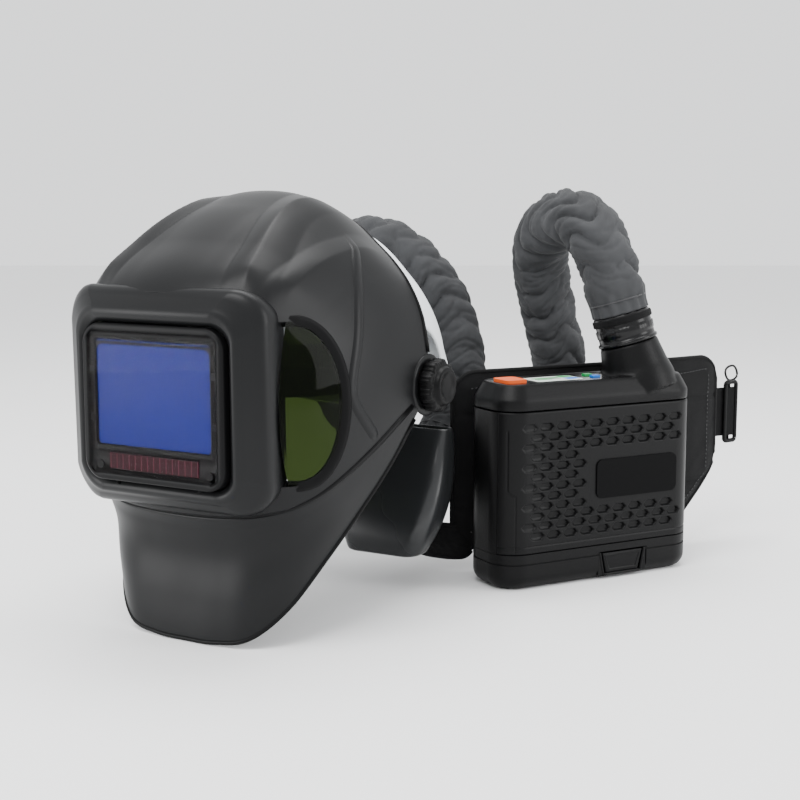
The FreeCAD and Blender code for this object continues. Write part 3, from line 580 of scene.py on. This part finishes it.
def build_bands():
    """A raised band down each cheek, lying on the shell from crown to seam."""
    knots = knots_of(BAND_ROUTE)
    steps = 120
    middle = [route_point(knots, BAND_ROUTE, knots[-1] * k / steps) for k in range(steps + 1)]
    for side, word in ((1, "left"), (-1, "right")):
        verts = []
        for k, spot in enumerate(middle):
            way = (middle[min(k + 1, steps)] - middle[max(k - 1, 0)]).normalized()
            fade = smoothstep(k, 0, 26) * (1 - smoothstep(k, steps - 6, steps))
            for across, lift in BAND_PROFILE:
                y, z = (spot + Vector((-way.y, way.x)) * across * (3.0 + 2.6 * fade)) * MM
                share = share_at(y, z)
                angle = math.degrees(math.atan2(z, -y))
                a = fan(angle, share + 0.006) - fan(angle, share - 0.006)
                b = fan(angle + 0.8, share) - fan(angle - 0.8, share)
                out = b.cross(a).normalized()
                if out.x < 0:
                    out = -out
                point = Vector((share * HALF, y, z)) + out * (lift * fade - 0.35 * (1 - fade)) * MM
                verts.append(Vector((side * point.x, point.y, point.z)))
        faces = grid_faces(steps + 1, len(BAND_PROFILE))
        piece(f"cheek_band_{word}", verts, faces, "hood", "shell_grey", HELMET)
    # A black bead in the gap between hood and chin: painted shade, a dark line standing in for the shade in the
    # seam.
    edge_bead("painted_seam_shade", -30, 0.985, 100, 0.0026, 0.0023)


def build_front():
    """The proud front frame round the filter, and the filter's face."""
    rings = (
        (86.0, 77, -74, 20, 30), (88.3, 80, -78, 24, 15), (89.0, 82, -81, 25, 7), (88.6, 81.6, -80.6, 25, 4),
        (87.2, 80.2, -79.2, 24, 1.8), (85.0, 78.0, -77.0, 23, 0.6), (82.0, 75.0, -74.0, 22, 0.0),
        (76.5, 69.5, -72.0, 21, -0.3), (74.0, 67.0, -71.0, 20, -1.2), (71.8, 64.8, -69.6, 19, -2.0),
        (69.4, 61.6, -67.2, 18, -1.6), (67.2, 58.8, -64.6, 17, 0.4), (65.8, 56.9, -62.9, 16, 2.6),
        (64.6, 55.6, -61.6, 16, 4.0), (64.3, 55.3, -61.3, 16, 9.0),
    )
    verts, faces = ring_solid(rings, bow)
    front = piece("front_frame_shell", verts, faces, "hood", "shell_grey", HELMET, replaces=["front_frame"])
    thick = front.modifiers.new("wall", "SOLIDIFY")
    thick.thickness, thick.offset = 0.0025, -1
    face_y = -0.1829
    rings = (
        (64.0, 55, -61, 16, 17.5), (64.0, 55, -61, 16, 2.2), (63.6, 54.6, -60.6, 15.6, 1.0),
        (62.6, 53.6, -59.6, 15, 0.2), (59.8, 50.8, -56.8, 12, 0.0), (58.2, 49.4, -55.4, 5, 0.4),
        (58.0, 49.2, -55.2, 4, 2.6), (54.8, 45.6, -36.4, 4, 2.7), (53.6, 44.6, -35.4, 3.4, 1.5),
        (52.4, 43.4, -34.4, 2.6, 1.5), (52.0, 43.0, -34.0, 2.4, 5.6),
    )
    verts, faces = ring_solid(rings, lambda x, z: face_y)
    piece("filter_case", verts, faces, "hood", "filter_black", HELMET, replaces=["filter_housing"])
    outline = [(-40.6, -51.9), (40.6, -51.9), (40.6, -39.9), (-40.6, -39.9)]
    points = [Vector((x * MM, face_y + 0.0025, z * MM)) for x, z in outline]
    verts, faces = tube(points, 0.0006, 6, closed=True)
    piece("solar_rim", verts, faces, "hood", "filter_black", HELMET)


def build_windows():
    """The black seal round each side window."""
    profile = ((-0.0045, -0.0024), (-0.0040, -0.0006), (-0.0006, 0.0012), (0.0012, 0.0020), (0.0034, 0.0014),
               (0.0042, -0.0022))
    rings = [(window_outline(0.0008 + grow, 40), lift) for grow, lift in profile]
    frame_edge = -0.1700
    for side, word in ((1, "left"), (-1, "right")):
        verts = []
        for ring, lift in rings:
            for y, z in ring:
                verts.append(Vector((side * (share_at(max(y, frame_edge), z) * HALF + lift), y, z)))
        faces = grid_faces(len(rings), len(rings[0][0]), closed=True, joined=True)
        piece(f"window_seal_{word}", verts, faces, "hood", "black_plastic", HELMET, RUBBER)


def build_knobs():
    """Lobed knobs with a turned cap, in place of the plain ones."""
    def lobes(turn, height, radius):
        grip = smoothstep(radius, 0.0165, 0.019) * smoothstep(height, 0.0, 0.0015)
        return grip * (0.0011 * math.cos(9 * turn) - 0.0009 * math.cos(18 * turn) ** 2)
    profile = ((0.0045, 0.0003), (0.0190, 0.0003), (0.0202, 0.0012), (0.0206, 0.0030), (0.0206, 0.0080),
               (0.0200, 0.0098), (0.0188, 0.0108), (0.0170, 0.0111), (0.0158, 0.0112), (0.0152, 0.0118),
               (0.0148, 0.0138), (0.0142, 0.0152), (0.0128, 0.0158), (0.0108, 0.0154), (0.0096, 0.0144),
               (0.0060, 0.0140), (0.0001, 0.0139))
    for side, word in ((1, "left"), (-1, "right")):
        verts, faces = lathe(profile, 144, lobes)
        place = HELMET @ looking((side * 0.128, 0, 0), (side, 0, 0))
        piece(f"tilt_knob_{word}", verts, faces, f"knob_{word}", "black_plastic", place,
              replaces=[f"pivot_knob_{word}"])


# ---------------------------------------------------------------- hose
# where the row of modules stands, and the same points as the hose's route in the CAD model, in metres
STAND = Vector((-0.0433, -0.0204, 0))
HOSE_ROUTE = [
    (0.170, 0.122, 0.310), (0.146, 0.158, 0.316), (0.130, 0.196, 0.284), (0.142, 0.208, 0.226),
    (0.160, 0.212, 0.160), (0.148, 0.216, 0.096), (0.095, 0.218, 0.056), (0.028, 0.214, 0.062),
    (-0.032, 0.204, 0.105), (-0.068, 0.190, 0.168), (-0.084, 0.178, 0.230), (-0.062, 0.164, 0.282),
    (-0.008, 0.156, 0.290), (0.034, 0.152, 0.248), (0.055, 0.150, 0.188),
]


def cuff_place(joint):
    """Where a cuff's foot is and which way it points, from the joint it turns on."""
    return Vector(JOINTS[joint]["pos_m"]), Vector(JOINTS[joint]["axis"]).normalized()


def path_of(curve):
    """The points along a curve with no bevel."""
    return [v.co.copy() for v in evaluated_mesh(curve).vertices]


def carried_frames(points):
    """A tangent, a side and an up at each point of a path, without twist."""
    frames = []
    side = (points[1] - points[0]).orthogonal().normalized()
    for i, point in enumerate(points):
        along = (points[min(i + 1, len(points) - 1)] - points[max(i - 1, 0)]).normalized()
        side = (side - along * side.dot(along)).normalized()
        frames.append((point, along, side, along.cross(side)))
    return frames


def resample(points, step):
    """Evenly spaced points along a polyline, with each one's distance from the start."""
    out, run, next_at = [], 0.0, 0.0
    total = sum((b - a).length for a, b in zip(points, points[1:]))
    count = int(total / step)
    gap = total / count
    for a, b in zip(points, points[1:]):
        length = (b - a).length
        while next_at <= run + length + 1e-9 and len(out) <= count:
            out.append(a.lerp(b, (next_at - run) / length))
            next_at += gap
        run += length
    return out, gap


def gathered(along, turn):
    """How far the cloth stands out: uneven puffed gathers with sharp valleys, creases and crumple."""
    around = Vector((0, math.cos(turn), math.sin(turn)))
    drift = noise.noise(Vector((along * 8, 3.1, 7.7)) + around * 0.75)
    phase = along / 0.0255 * math.pi + 4.2 * drift + 0.9 * math.sin(turn + along * 14)
    strength = 0.65 + 0.75 * noise.noise(Vector((along * 19, 0.7, 4.4)) + around * 0.8)
    valley = abs(math.sin(phase)) ** 0.5
    narrow = noise.noise(Vector((along * 96 + 0.8 * math.sin(turn * 2), 8.2, 1.3)) + around * 0.9)
    crease = min(1.0, abs(narrow) * 3.6) ** 0.6
    billow = noise.noise(Vector((along * 13, 5.0, 0.4)) + around * 0.9)
    crumple = noise.noise(Vector((along * 210, 2.0, 0.6)) + around * 5.0)
    return 0.0068 * strength * (valley - 0.78) + 0.0016 * (crease - 0.72) + 0.0020 * billow + 0.0004 * crumple


def build_hose(cuffs):
    """The hose in its gathered cloth cover, hemmed at both cuffs."""
    neck, neck_way = cuff_place("cuff_blower_turn")
    port, port_way = cuff_place("cuff_helmet_turn")
    first = neck + neck_way * 0.0274
    last = port + port_way * 0.0234
    straight = 0.040
    points = [first, first + neck_way * straight, *[Vector(p) + STAND for p in HOSE_ROUTE],
              last + port_way * straight, last]
    route = bpy.data.curves.new("hose_route", "CURVE")
    route.dimensions = "3D"
    spline = route.splines.new("NURBS")
    spline.points.add(len(points) - 1)
    for control, point in zip(spline.points, points):
        control.co = (*point, 1)
    spline.order_u = 3
    spline.use_endpoint_u = True
    spline.resolution_u = 16
    curve = in_scene("hose_route", route)
    line = path_of(curve)
    bpy.data.objects.remove(curve)
    ring_gap, cloth_radius, lining_radius, hem_radius = 0.0014, 0.0247, 0.0165, 0.0252
    centre, gap = resample(line, ring_gap)
    frames = carried_frames(centre)
    total = gap * (len(centre) - 1)
    around = 120
    verts = []
    for i, (point, along, side, over) in enumerate(frames):
        run = i * gap
        ends = smoothstep(run, 0.004, 0.030) * (1 - smoothstep(run, total - 0.030, total - 0.004))
        for k in range(around):
            turn = 2 * math.pi * k / around
            hem = 0.0008 * math.cos(14 * turn) * (1 - ends)
            radius = cloth_radius + hem + gathered(run, turn) * ends + 0.0012 * ends
            sag = 0.0012 * ends * noise.noise(Vector((run * 22, 1.7, 0)))
            verts.append(point + (math.cos(turn) * side + math.sin(turn) * over) * (radius + sag))
    faces = grid_faces(len(frames), around, closed=True)
    for end in (0, len(frames) - 1):
        point, _, side, over = frames[end]
        start, row = len(verts), end * around
        verts += circle(point, side, over, lining_radius, around)
        faces += [(row + k, row + (k + 1) % around, start + (k + 1) % around, start + k) for k in range(around)]
    cover = piece("hose_cover", verts, faces, "base", "hose_fabric", replaces=["breathing_hose"])
    for number, end in ((1, 8), (2, len(frames) - 9)):
        point, _, side, over = frames[end]
        verts, faces = tube(circle(point, side, over, hem_radius, 96), 0.0006, 6, closed=True)
        piece(f"hem_cord_{number}", verts, faces, "base", "hose_fabric", look=THREAD)


def build_cuffs():
    """Turned connector rings with a grip, a latch and an elastic band."""
    profile = ((0.0166, 0.0003), (0.0258, 0.0003), (0.0266, 0.0010), (0.0266, 0.0028), (0.0258, 0.0036),
               (0.0250, 0.0040), (0.0250, 0.0085), (0.0256, 0.0090), (0.0256, 0.0150), (0.0250, 0.0156),
               (0.0249, 0.0180), (0.0249, 0.0262), (0.0242, 0.0270), (0.0166, 0.0270), (0.0166, 0.0003))
    band = ((0.0250, 0.0190), (0.0262, 0.0192), (0.0266, 0.0200), (0.0266, 0.0240), (0.0262, 0.0248),
            (0.0250, 0.0250))

    def grip(turn, height, radius):
        return 0.0004 * max(0.0, math.cos(36 * turn)) if 0.009 < height < 0.0152 and radius > 0.02 else 0.0

    made = []
    for word, joint in (("blower", "cuff_blower_turn"), ("helmet", "cuff_helmet_turn")):
        foot, way = cuff_place(joint)
        if word == "helmet":
            foot = foot - way * 0.004
        place = looking(foot, way)
        body = f"cuff_{word}"
        verts, faces = lathe(profile, 144, grip)
        made.append(piece(f"cuff_ring_{word}", verts, faces, body, "cuff_black", place,
                          replaces=[f"hose_cuff_{word}"]))
        verts, faces = lathe(band, 96)
        made.append(piece(f"elastic_{word}", verts, faces, body, "elastic", place,
                          replaces=[f"cuff_band_{word}"]))
        verts, faces = rounded_box((0.010, 0.0045, 0.0085), 0.0012)
        latch = place @ Matrix.Rotation(math.radians(-70), 4, "Z") @ Matrix.Translation((0, -0.0268, 0.0125))
        made.append(piece(f"cuff_latch_{word}", verts, faces, body, "cuff_black", latch))
    return made


def rounded_box(size, radius, steps=3):
    """A box with rounded edges about its middle."""
    mesh = bmesh.new()
    bmesh.ops.create_cube(mesh, size=1.0)
    bmesh.ops.scale(mesh, vec=size, verts=mesh.verts)
    bmesh.ops.bevel(mesh, geom=mesh.edges[:], offset=radius, segments=steps, affect="EDGES", profile=0.5)
    mesh.verts.ensure_lookup_table()
    verts = [v.co.copy() for v in mesh.verts]
    faces = [tuple(v.index for v in f.verts) for f in mesh.faces]
    mesh.free()
    return verts, faces


# ---------------------------------------------------------------- belt
PAD_ROUTE = ((-104, 48), (-86, 42), (-60, 39), (0, 37.6), (70, 37.6), (135, 38.5), (190, 44))
TONGUE_ROUTE = ((-124, 88), (-118, 66), (-104, 48), (-86, 42), (-60, 39), (0, 37.6))


def plan_points(route, count):
    """Evenly spaced plan points and their left-hand normals along a smooth route in millimetres."""
    knots = knots_of(route)
    step = 0.5
    out = []
    for k in range(count):
        at = knots[-1] * k / (count - 1)
        spot = route_point(knots, route, at)
        if k == count - 1:
            way = spot - route_point(knots, route, at - step)
        else:
            way = route_point(knots, route, min(at + step, knots[-1])) - spot
        way.normalize()
        out.append((spot * MM, Vector((-way.y, way.x))))
    return out, knots[-1] * MM


def edge_profile(share_u, share_v, thick, width, height):
    """Thickness of a padded panel: full in the middle, thin at its bound edge."""
    edge = min(share_u * width, (1 - share_u) * width, share_v * height, (1 - share_v) * height)
    return thick * (0.34 + 0.66 * smoothstep(edge, 0.0, 0.014))


def padded_panel(name, route, low, high, thick, corner, channels=(), taper=0.0, replaces=()):
    """A padded nylon panel along a plan route: two faces, thin bound edges and quilted channels."""
    columns, rows = 150, 70
    spots, length = plan_points(route, columns)
    height = high - low
    sides = []
    for front in (True, False):
        for i in range(rows):
            v = i / (rows - 1)
            for j, (spot, left) in enumerate(spots):
                u = j / (columns - 1)
                along_edge = min(u, 1 - u) * length
                squeeze = 0.0
                if along_edge < corner:
                    squeeze = corner - math.sqrt(max(0.0, corner ** 2 - (corner - along_edge) ** 2))
                rise = taper * smoothstep(u, 0.80, 1.0)
                z = low + squeeze + rise + (height - 2 * squeeze - rise) * v
                puff = edge_profile(u, v, thick, length, height)
                for at in channels:
                    puff -= 0.0017 * math.exp(-((z - at) / 0.0022) ** 2)
                wrinkle = 0.0006 * noise.noise(Vector((u * 14, v * 9, 2.0 if front else 7.0)))
                middle = spot + left * thick / 2
                away = left * ((-1 if front else 1) * (puff / 2 + wrinkle))
                sides.append(Vector((middle.x + away.x, middle.y + away.y, z)))
    count = rows * columns
    faces, rim = slab_faces(rows, columns)
    made = piece(name, sides, faces, "base", "pad_fabric", BLOWER, replaces=replaces)
    border = [(sides[k] + sides[k + count]) / 2 for k in rim[::2]]
    verts, binding = tube(border, 0.0021, 8, closed=True)
    piece(name + "_binding", verts, binding, "base", "webbing", BLOWER)
    return made, sides, rows, columns


def stitches(name, line, length=0.0032, gap=0.0016, radius=0.00035):
    """A run of short stitches along points."""
    points, step = resample([Vector(p) for p in line], 0.0008)
    verts, faces = [], []
    per = int((length + gap) / step)
    long = int(length / step)
    for start in range(0, len(points) - long, per):
        strand, quads = tube(points[start:start + long + 1:2], radius, 5)
        faces += [tuple(k + len(verts) for k in quad) for quad in quads]
        verts += strand
    return piece(name, verts, faces, "base", "webbing", BLOWER, THREAD)


def build_belt():
    bottom, top = 0.0225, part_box("belt_pad")[1][2] - 0.0005
    pad, sides, rows, columns = padded_panel("belt_pad_cover", PAD_ROUTE, bottom, top, 0.0078, 0.022,
                                             (0.060, 0.142), 0.040, ["belt_pad"])
    tongue = padded_panel("belt_tongue", TONGUE_ROUTE[:4], 0.0135, 0.0428, 0.0070, 0.010)[0]
    for row, name in ((6, "low"), (rows - 7, "high")):
        line = [sides[row * columns + j] + Vector((0, -0.0003, 0)) for j in range(8, columns - 8)]
        stitches(f"pad_stitch_{name}", line)
    line = [sides[i * columns + columns - 8] + Vector((0, -0.0003, 0)) for i in range(8, rows - 8)]
    stitches("pad_stitch_end", line)

    rows, columns, wide = 25, 160, 0.0476
    spots, _ = plan_points([(x, y + 8.6) for x, y in PAD_ROUTE[2:]] + [(222, 52)], columns)
    centre = (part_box("belt_strap")[0][2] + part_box("belt_strap")[1][2]) / 2
    verts = []
    for thick in (0.0002, 0.0021):
        for i in range(rows):
            z = centre - wide / 2 + wide * i / (rows - 1)
            for spot, left in spots:
                side = spot + left * (thick + 0.0001 * math.sin(spot.x * 2600))
                verts.append(Vector((side.x, side.y, z)))
    faces, _ = slab_faces(rows, columns)
    strap = piece("webbing_strap", verts, faces, "base", "webbing", BLOWER, replaces=["belt_strap"])


def dome_distance(angle, share):
    """The crown duct's distance from the axis: just inside the hood's rear section, fuller behind."""
    return reach(93, share * 1.03) - 0.0068 + 0.007 * smoothstep(angle, 160, 184)


def build_dome():
    """The white crown duct that fills the back of the hood, with rolled edges and a shallow seam."""
    rows, columns = 70, 121
    verts = []
    for wall in (0.0, 0.0024):
        for i in range(rows):
            angle = 96 + 102 * i / (rows - 1)
            turn = math.radians(angle)
            for j in range(columns):
                share = 0.9 * math.sin(math.pi / 2 * (2 * j / (columns - 1) - 1))
                distance = dome_distance(angle, share) - wall
                if not wall:
                    distance -= 0.0007 * math.exp(-((angle - 108) / 0.7) ** 2)
                    seam = math.exp(-((abs(share) - 0.30) / 0.006) ** 2)
                    distance -= 0.0007 * seam * smoothstep(angle, 108, 111)
                narrow = HALF * share * (1 - wall / 0.12)
                verts.append(Vector((narrow, -distance * math.cos(turn), distance * math.sin(turn))))
    count = rows * columns
    faces, rim = slab_faces(rows, columns)
    piece("crown_dome", verts, faces, "base", "duct_white", HELMET, replaces=["crown_duct"])
    edge = [(verts[k] + verts[k + count]) / 2 for k in rim]
    verts, faces = tube(edge, 0.0018, 8, closed=True)
    piece("dome_rim", verts, faces, "base", "duct_white", HELMET)


def build_glass_mask():
    """The black mask that rounds the corners of the filter glass."""
    glass = frame["nodes"]["filter_glass"]
    local = [HELMET.inverted() @ glass.matrix_world @ v.co for v in glass.data.vertices]
    front = min(v.y for v in local) - 0.0004
    middle = (max(v.z for v in local) + min(v.z for v in local)) / 2
    outer, inner = (0.0536, 0.0005), (0.0516, 0.0055)
    back = front - 0.0003
    around = 96
    verts = []
    for y, (half, radius) in ((front, outer), (front, inner), (back, inner), (back, outer)):
        tall = half - 0.0140
        for x, z in round_rect(half, tall, -tall, radius, around):
            verts.append(Vector((x, y, middle + z)))
    faces = grid_faces(4, around, closed=True, joined=True)
    piece("glass_mask", verts, faces, "hood", "filter_black", HELMET, smooth=False)


def build_headgear():
    """Cloth-faced brow pad in place of its plain block."""
    verts = []
    columns = 90
    for ring, (inset, z) in enumerate(((0.0, -0.0035), (0.0004, 0.002), (0.0002, 0.012), (0.0, 0.0135),
                                       (0.0025, 0.0142), (0.0058, 0.0135), (0.0074, 0.010), (0.0076, 0.003),
                                       (0.0068, -0.001), (0.0045, -0.0036), (0.0020, -0.0040))):
        for k in range(columns):
            turn = math.radians(-90 + 62 * (2 * k / (columns - 1) - 1))
            puff = 0.0004 * math.sin(k * 1.1) * (1 if ring > 4 else 0)
            a, b = 0.0772 - inset - puff, 0.0952 - inset - puff
            verts.append(Vector((a * math.cos(turn), b * math.sin(turn), z)))
    rings = 11
    faces = grid_faces(rings, columns, joined=True)
    faces += [tuple(i * columns for i in range(rings))]
    faces += [tuple(i * columns + columns - 1 for i in range(rings))[::-1]]
    pad = piece("brow_cushion", verts, faces, "base", "brow_foam", HELMET, replaces=["brow_pad"])


# ---------------------------------------------------------------- blower
def softened(name, node, slot_name, cell, rounds, extra=()):
    """A moulded part with blended edges: the CAD solid and any added volumes, remeshed and eased."""
    source = frame["nodes"][node]
    mesh = bmesh.new()
    base = source.data.copy()
    base.transform(source.matrix_world)
    mesh.from_mesh(base)
    for verts, faces, place in extra:
        added = bpy.data.meshes.new("added")
        added.from_pydata([tuple(v) for v in verts], [], faces)
        added.transform(place)
        mesh.from_mesh(added)
        bpy.data.meshes.remove(added)
    bmesh.ops.recalc_face_normals(mesh, faces=mesh.faces)
    mesh.to_mesh(base)
    mesh.free()
    work = in_scene("work", base)
    remesh = work.modifiers.new("cells", "REMESH")
    remesh.mode, remesh.voxel_size = "VOXEL", cell
    ease = work.modifiers.new("ease", "SMOOTH")
    ease.factor, ease.iterations = 0.5, rounds
    result = evaluated_mesh(work)
    verts = [v.co.copy() for v in result.vertices]
    faces = [tuple(f.vertices) for f in result.polygons]
    bpy.data.objects.remove(work)
    bpy.data.meshes.remove(result)
    return piece(name, verts, faces, body_for(node), slot_name, replaces=[node])


def distance_to(point, route):
    """The distance from a plane point to a polyline."""
    best = 1.0
    spot = Vector(point)
    for a, b in zip(route, route[1:]):
        a, b = Vector(a), Vector(b)
        along = b - a
        share = min(1.0, max(0.0, (spot - a).dot(along) / along.length_squared))
        best = min(best, (spot - a - along * share).length)
    return best


def hex_pit(x, z):
    """The depth of the wide six-sided pits there: deep at the top of each, rising to its lower edge."""
    pitch_x, pitch_z = 0.017, 0.0085
    deepest = 0.0
    for row in range(int((z - 0.046) / pitch_z) - 1, int((z - 0.046) / pitch_z) + 3):
        if not 0 <= row <= 11:
            continue
        shift = pitch_x / 2 if row % 2 else 0.0
        column = round((x - shift) / pitch_x)
        cx, cz = column * pitch_x + shift, 0.046 + row * pitch_z
        if abs(cx) > 0.083 or (-0.0195 < cx < 0.089 and 0.064 < cz < 0.116):
            continue
        dx, dz = abs(x - cx) / 0.0078, abs(z - cz) / 0.0034
        inside = max(dz, dx + dz * 0.42)
        if inside > 1.1:
            continue
        wall = 1 - smoothstep(inside, 0.84, 1.02)
        rise = 0.62 + 0.38 * smoothstep((z - cz) / 0.0034, -0.9, -0.2)
        fade = 0.35 + 0.65 * smoothstep(x, -0.084, -0.050)
        deepest = max(deepest, 0.0030 * wall * rise * fade)
    return deepest


def cover_outline(count):
    """Plan points and outward normals of the filter cover's outside, left to right, in metres."""
    half, deep, corner, split = 0.102, 0.033, 0.024, -0.0193
    start = math.acos((-split - (deep - corner)) / corner)
    arc = corner * start
    flat = 2 * (half - corner)
    total = flat + 2 * arc
    out = []
    for k in range(count):
        run = total * k / (count - 1)
        if arc <= run <= arc + flat:
            out.append((-half + corner + run - arc, -deep, 0.0, -1.0))
            continue
        side = -1 if run < arc else 1
        turn = start - run / corner if side < 0 else (run - arc - flat) / corner
        x, y = side * math.sin(turn), -math.cos(turn)
        out.append((side * (half - corner) + corner * x, -deep + corner + corner * y, x, y))
    return out


def build_latch():
    """The battery's release latch, wider at its top, in a raised lip."""
    deep, middle, top, low = 0.033, 0.022, 0.0235, 0.0055
    outline = [(-0.0172, low), (0.0172, low), (0.0215, top), (-0.0215, top)]
    verts = []
    for inset, y in ((0.0, 0.0060), (0.0, 0.0010), (0.0007, 0.0004), (0.0030, 0.0004), (0.0036, 0.0008)):
        for x, z in outline:
            inner_z = z + inset if z == low else z - inset
            verts.append(Vector((middle + x - math.copysign(inset, x), y - deep, inner_z)))
    faces = grid_faces(5, 4, closed=True) + [(3, 2, 1, 0), (16, 17, 18, 19)]
    made = piece("release_latch", verts, faces, "latch", "case_black", BLOWER, replaces=["battery_latch"],
                 smooth=False)
    bevel(made, 0.0006, 2)
    lip = [(-0.0200, 0.0042), (0.0200, 0.0042), (0.0240, 0.0242), (-0.0240, 0.0242)]
    for number, (a, b) in enumerate(((1, 0), (1, 2), (3, 0))):
        ends = [Vector((middle + lip[k][0], -deep + 0.0012, lip[k][1])) for k in (a, b)]
        strand = [ends[0].lerp(ends[1], t / 12) for t in range(13)]
        verts, faces = tube(strand, 0.0013, 10)
        piece(f"latch_lip_{number + 1}", verts, faces, "battery", "case_black", BLOWER)
    for side in (-1, 1):
        outline = [(side * x, z) for x, z in
                   ((0.0205, 0.0042), (0.0258, 0.0042), (0.0258, 0.0248), (0.0243, 0.0248))]
        verts = [Vector((middle + x, -deep + y, z)) for y in (0.0006, 0.0080) for x, z in outline]
        faces = [(0, 1, 2, 3), (7, 6, 5, 4)] + grid_faces(2, 4, closed=True)
        made = piece(f"latch_cheek_{1 if side > 0 else 2}", verts, faces, "battery", "case_black", BLOWER,
                     smooth=False)
        bevel(made, 0.0005, 2)


def build_blower():
    """The cover with its pits, the blended cap and neck, and the small seams and lights of the deck."""
    low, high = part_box("filter_cover")
    bottom, top = low[2], high[2]
    outline = cover_outline(380)
    rows = 210
    seam = ((-0.0945, 0.137), (-0.0945, 0.086), (-0.0885, 0.0815), (-0.0885, 0.034))
    verts = []
    for wall in (0.0, 0.0026):
        for i in range(rows):
            z = bottom + (top - bottom) * i / (rows - 1)
            edge = min(z - bottom, top - z)
            ease = 0.0007 * (1 - smoothstep(edge, 0.0, 0.0012))
            for x, y, nx, ny in outline:
                inward = wall + ease
                if not wall:
                    inward += hex_pit(x, z) if ny < -0.75 else 0.0
                    if x < -0.08:
                        inward += 0.0007 * (1 - smoothstep(distance_to((x, z), seam), 0.0002, 0.0009))
                    inward += 0.0006 * (1 - smoothstep(abs(z - bottom - 0.0065), 0.0002, 0.0009))
                verts.append(Vector((x - nx * inward, y - ny * inward, z)))
    faces, _ = slab_faces(rows, len(outline))
    piece("dimpled_cover", verts, faces, body_for("filter_cover"), "cover_black", BLOWER,
          replaces=["filter_cover"])

    flare = [(0.0255, 0.043), (0.0262, 0.034), (0.0285, 0.026), (0.0312, 0.018), (0.0330, 0.011), (0.0330, 0.004),
             (0.0170, 0.004), (0.0170, 0.043), (0.0255, 0.043)]
    foot = Vector((0.051, 0.004, 0.203))
    way = Vector((-0.22, 0.16, 0.96)).normalized()
    verts, faces = lathe(flare, 96)
    neck = (verts, faces, BLOWER @ looking(foot - way * 0.0440, way))
    softened("cap_and_neck", "top_cap", "case_black", 0.0011, 14, [neck])
    softened("nape_bowl", "nape_duct", "duct_grey", 0.0016, 12)

    deck = 0.1757
    for name, x, y, wide, tall, look in (("lcd_graph", -0.0385, 0.0035, 0.026, 0.0035, "key_green"),
                                         ("lcd_line_1", -0.0385, -0.0015, 0.026, 0.0012, "panel_black"),
                                         ("lcd_line_2", -0.0440, -0.0055, 0.015, 0.0012, "key_green"),
                                         ("lcd_cell_1", -0.0165, 0.0065, 0.0125, 0.0075, "key_green"),
                                         ("lcd_cell_2", -0.0165, -0.0055, 0.0125, 0.0085, "key_blue")):
        verts, faces = rounded_box((wide, tall, 0.0003), 0.00012, 1)
        piece(name, verts, faces, "base", look, BLOWER @ Matrix.Translation((x, y, deck + 0.0001)))

    place = BLOWER @ Matrix.Translation((0.213, 0.0520, 0.123)) @ Matrix.Rotation(0.12, 4, "Z")
    loop = [Vector((x, 0, z)) for x, z in round_rect(0.0074, 0.0290, -0.0290, 0.003, 48)]
    verts, faces = tube(loop, 0.0021, 10, closed=True)
    piece("strap_buckle", verts, faces, "base", "case_black", place, replaces=["strap_slide"])
    verts, faces = tube([Vector((0.0, 0.0024, z)) for z in (-0.0285, 0.0, 0.0285)], 0.0015, 10)
    piece("buckle_bar", verts, faces, "base", "case_black", place)
    loop = [Vector((0.0072 * math.cos(t), 0.0006 * math.sin(3 * t), 0.0072 * math.sin(t)))
            for t in [2 * math.pi * k / 48 for k in range(48)]]
    verts, faces = tube(loop, 0.0011, 10, closed=True)
    piece("hanging_ring", verts, faces, "base", "webbing", BLOWER @ Matrix.Translation((0.196, 0.0325, 0.164)),
          LOOKS["cuff_black"], replaces=["wire_ring"])


# ---------------------------------------------------------------- studio
def build_studio():
    mesh = bpy.data.meshes.new("floor")
    size = 6.0
    verts = [(-size, -size, 0), (size, -size, 0), (size, size, 0), (-size, size, 0)]
    mesh.from_pydata(verts, [], [(0, 1, 2, 3)])
    floor = in_scene("floor", mesh)
    plain = Finish("floor_white", (0.86, 0.86, 0.86), 0.6)
    mesh.materials.append(plain.material)

    world = bpy.data.worlds.new("studio")
    world.use_nodes = True
    world.node_tree.nodes["Background"].inputs["Color"].default_value = (0.98, 0.99, 1.0, 1)
    world.node_tree.nodes["Background"].inputs["Strength"].default_value = 1.6
    bpy.context.scene.world = world
    middle = Vector((0, 0, 0.15))
    for name, place, size, power in (("key", (-0.6, -1.1, 1.9), (1.2, 0.8), 40.0),
                                     ("left_card", (-1.75, -0.75, 0.45), (0.85, 0.9), 22.0),
                                     ("right_card", (1.7, -0.5, 0.7), (0.8, 1.2), 20.0),
                                     ("top", (0.1, 0.35, 1.9), (1.4, 0.8), 30.0)):
        lamp = bpy.data.lights.new(name, "AREA")
        lamp.shape, lamp.size, lamp.size_y, lamp.energy = "RECTANGLE", size[0], size[1], power
        shone = in_scene(name, lamp)
        shone.matrix_world = looking(place, Vector(place) - middle)

    lens = bpy.data.cameras.new("camera")
    lens.lens, lens.sensor_width, lens.clip_end = 64.3, 36.0, 50.0
    seen = in_scene("camera", lens)
    pivot = Vector(tilt["pos_m"])
    spot = Vector((pivot.x + 0.087, pivot.y - 1.170, pivot.z + 0.1436))
    seen.matrix_world = Matrix.Translation(spot) @ Matrix.Rotation(math.radians(90 - 8), 4, "X")
    bpy.context.scene.camera = seen


build_hood()
build_bands()
build_front()
build_windows()
build_knobs()
build_dome()
build_glass_mask()
build_headgear()
build_hose(build_cuffs())
build_belt()
build_blower()
build_latch()
build_studio()
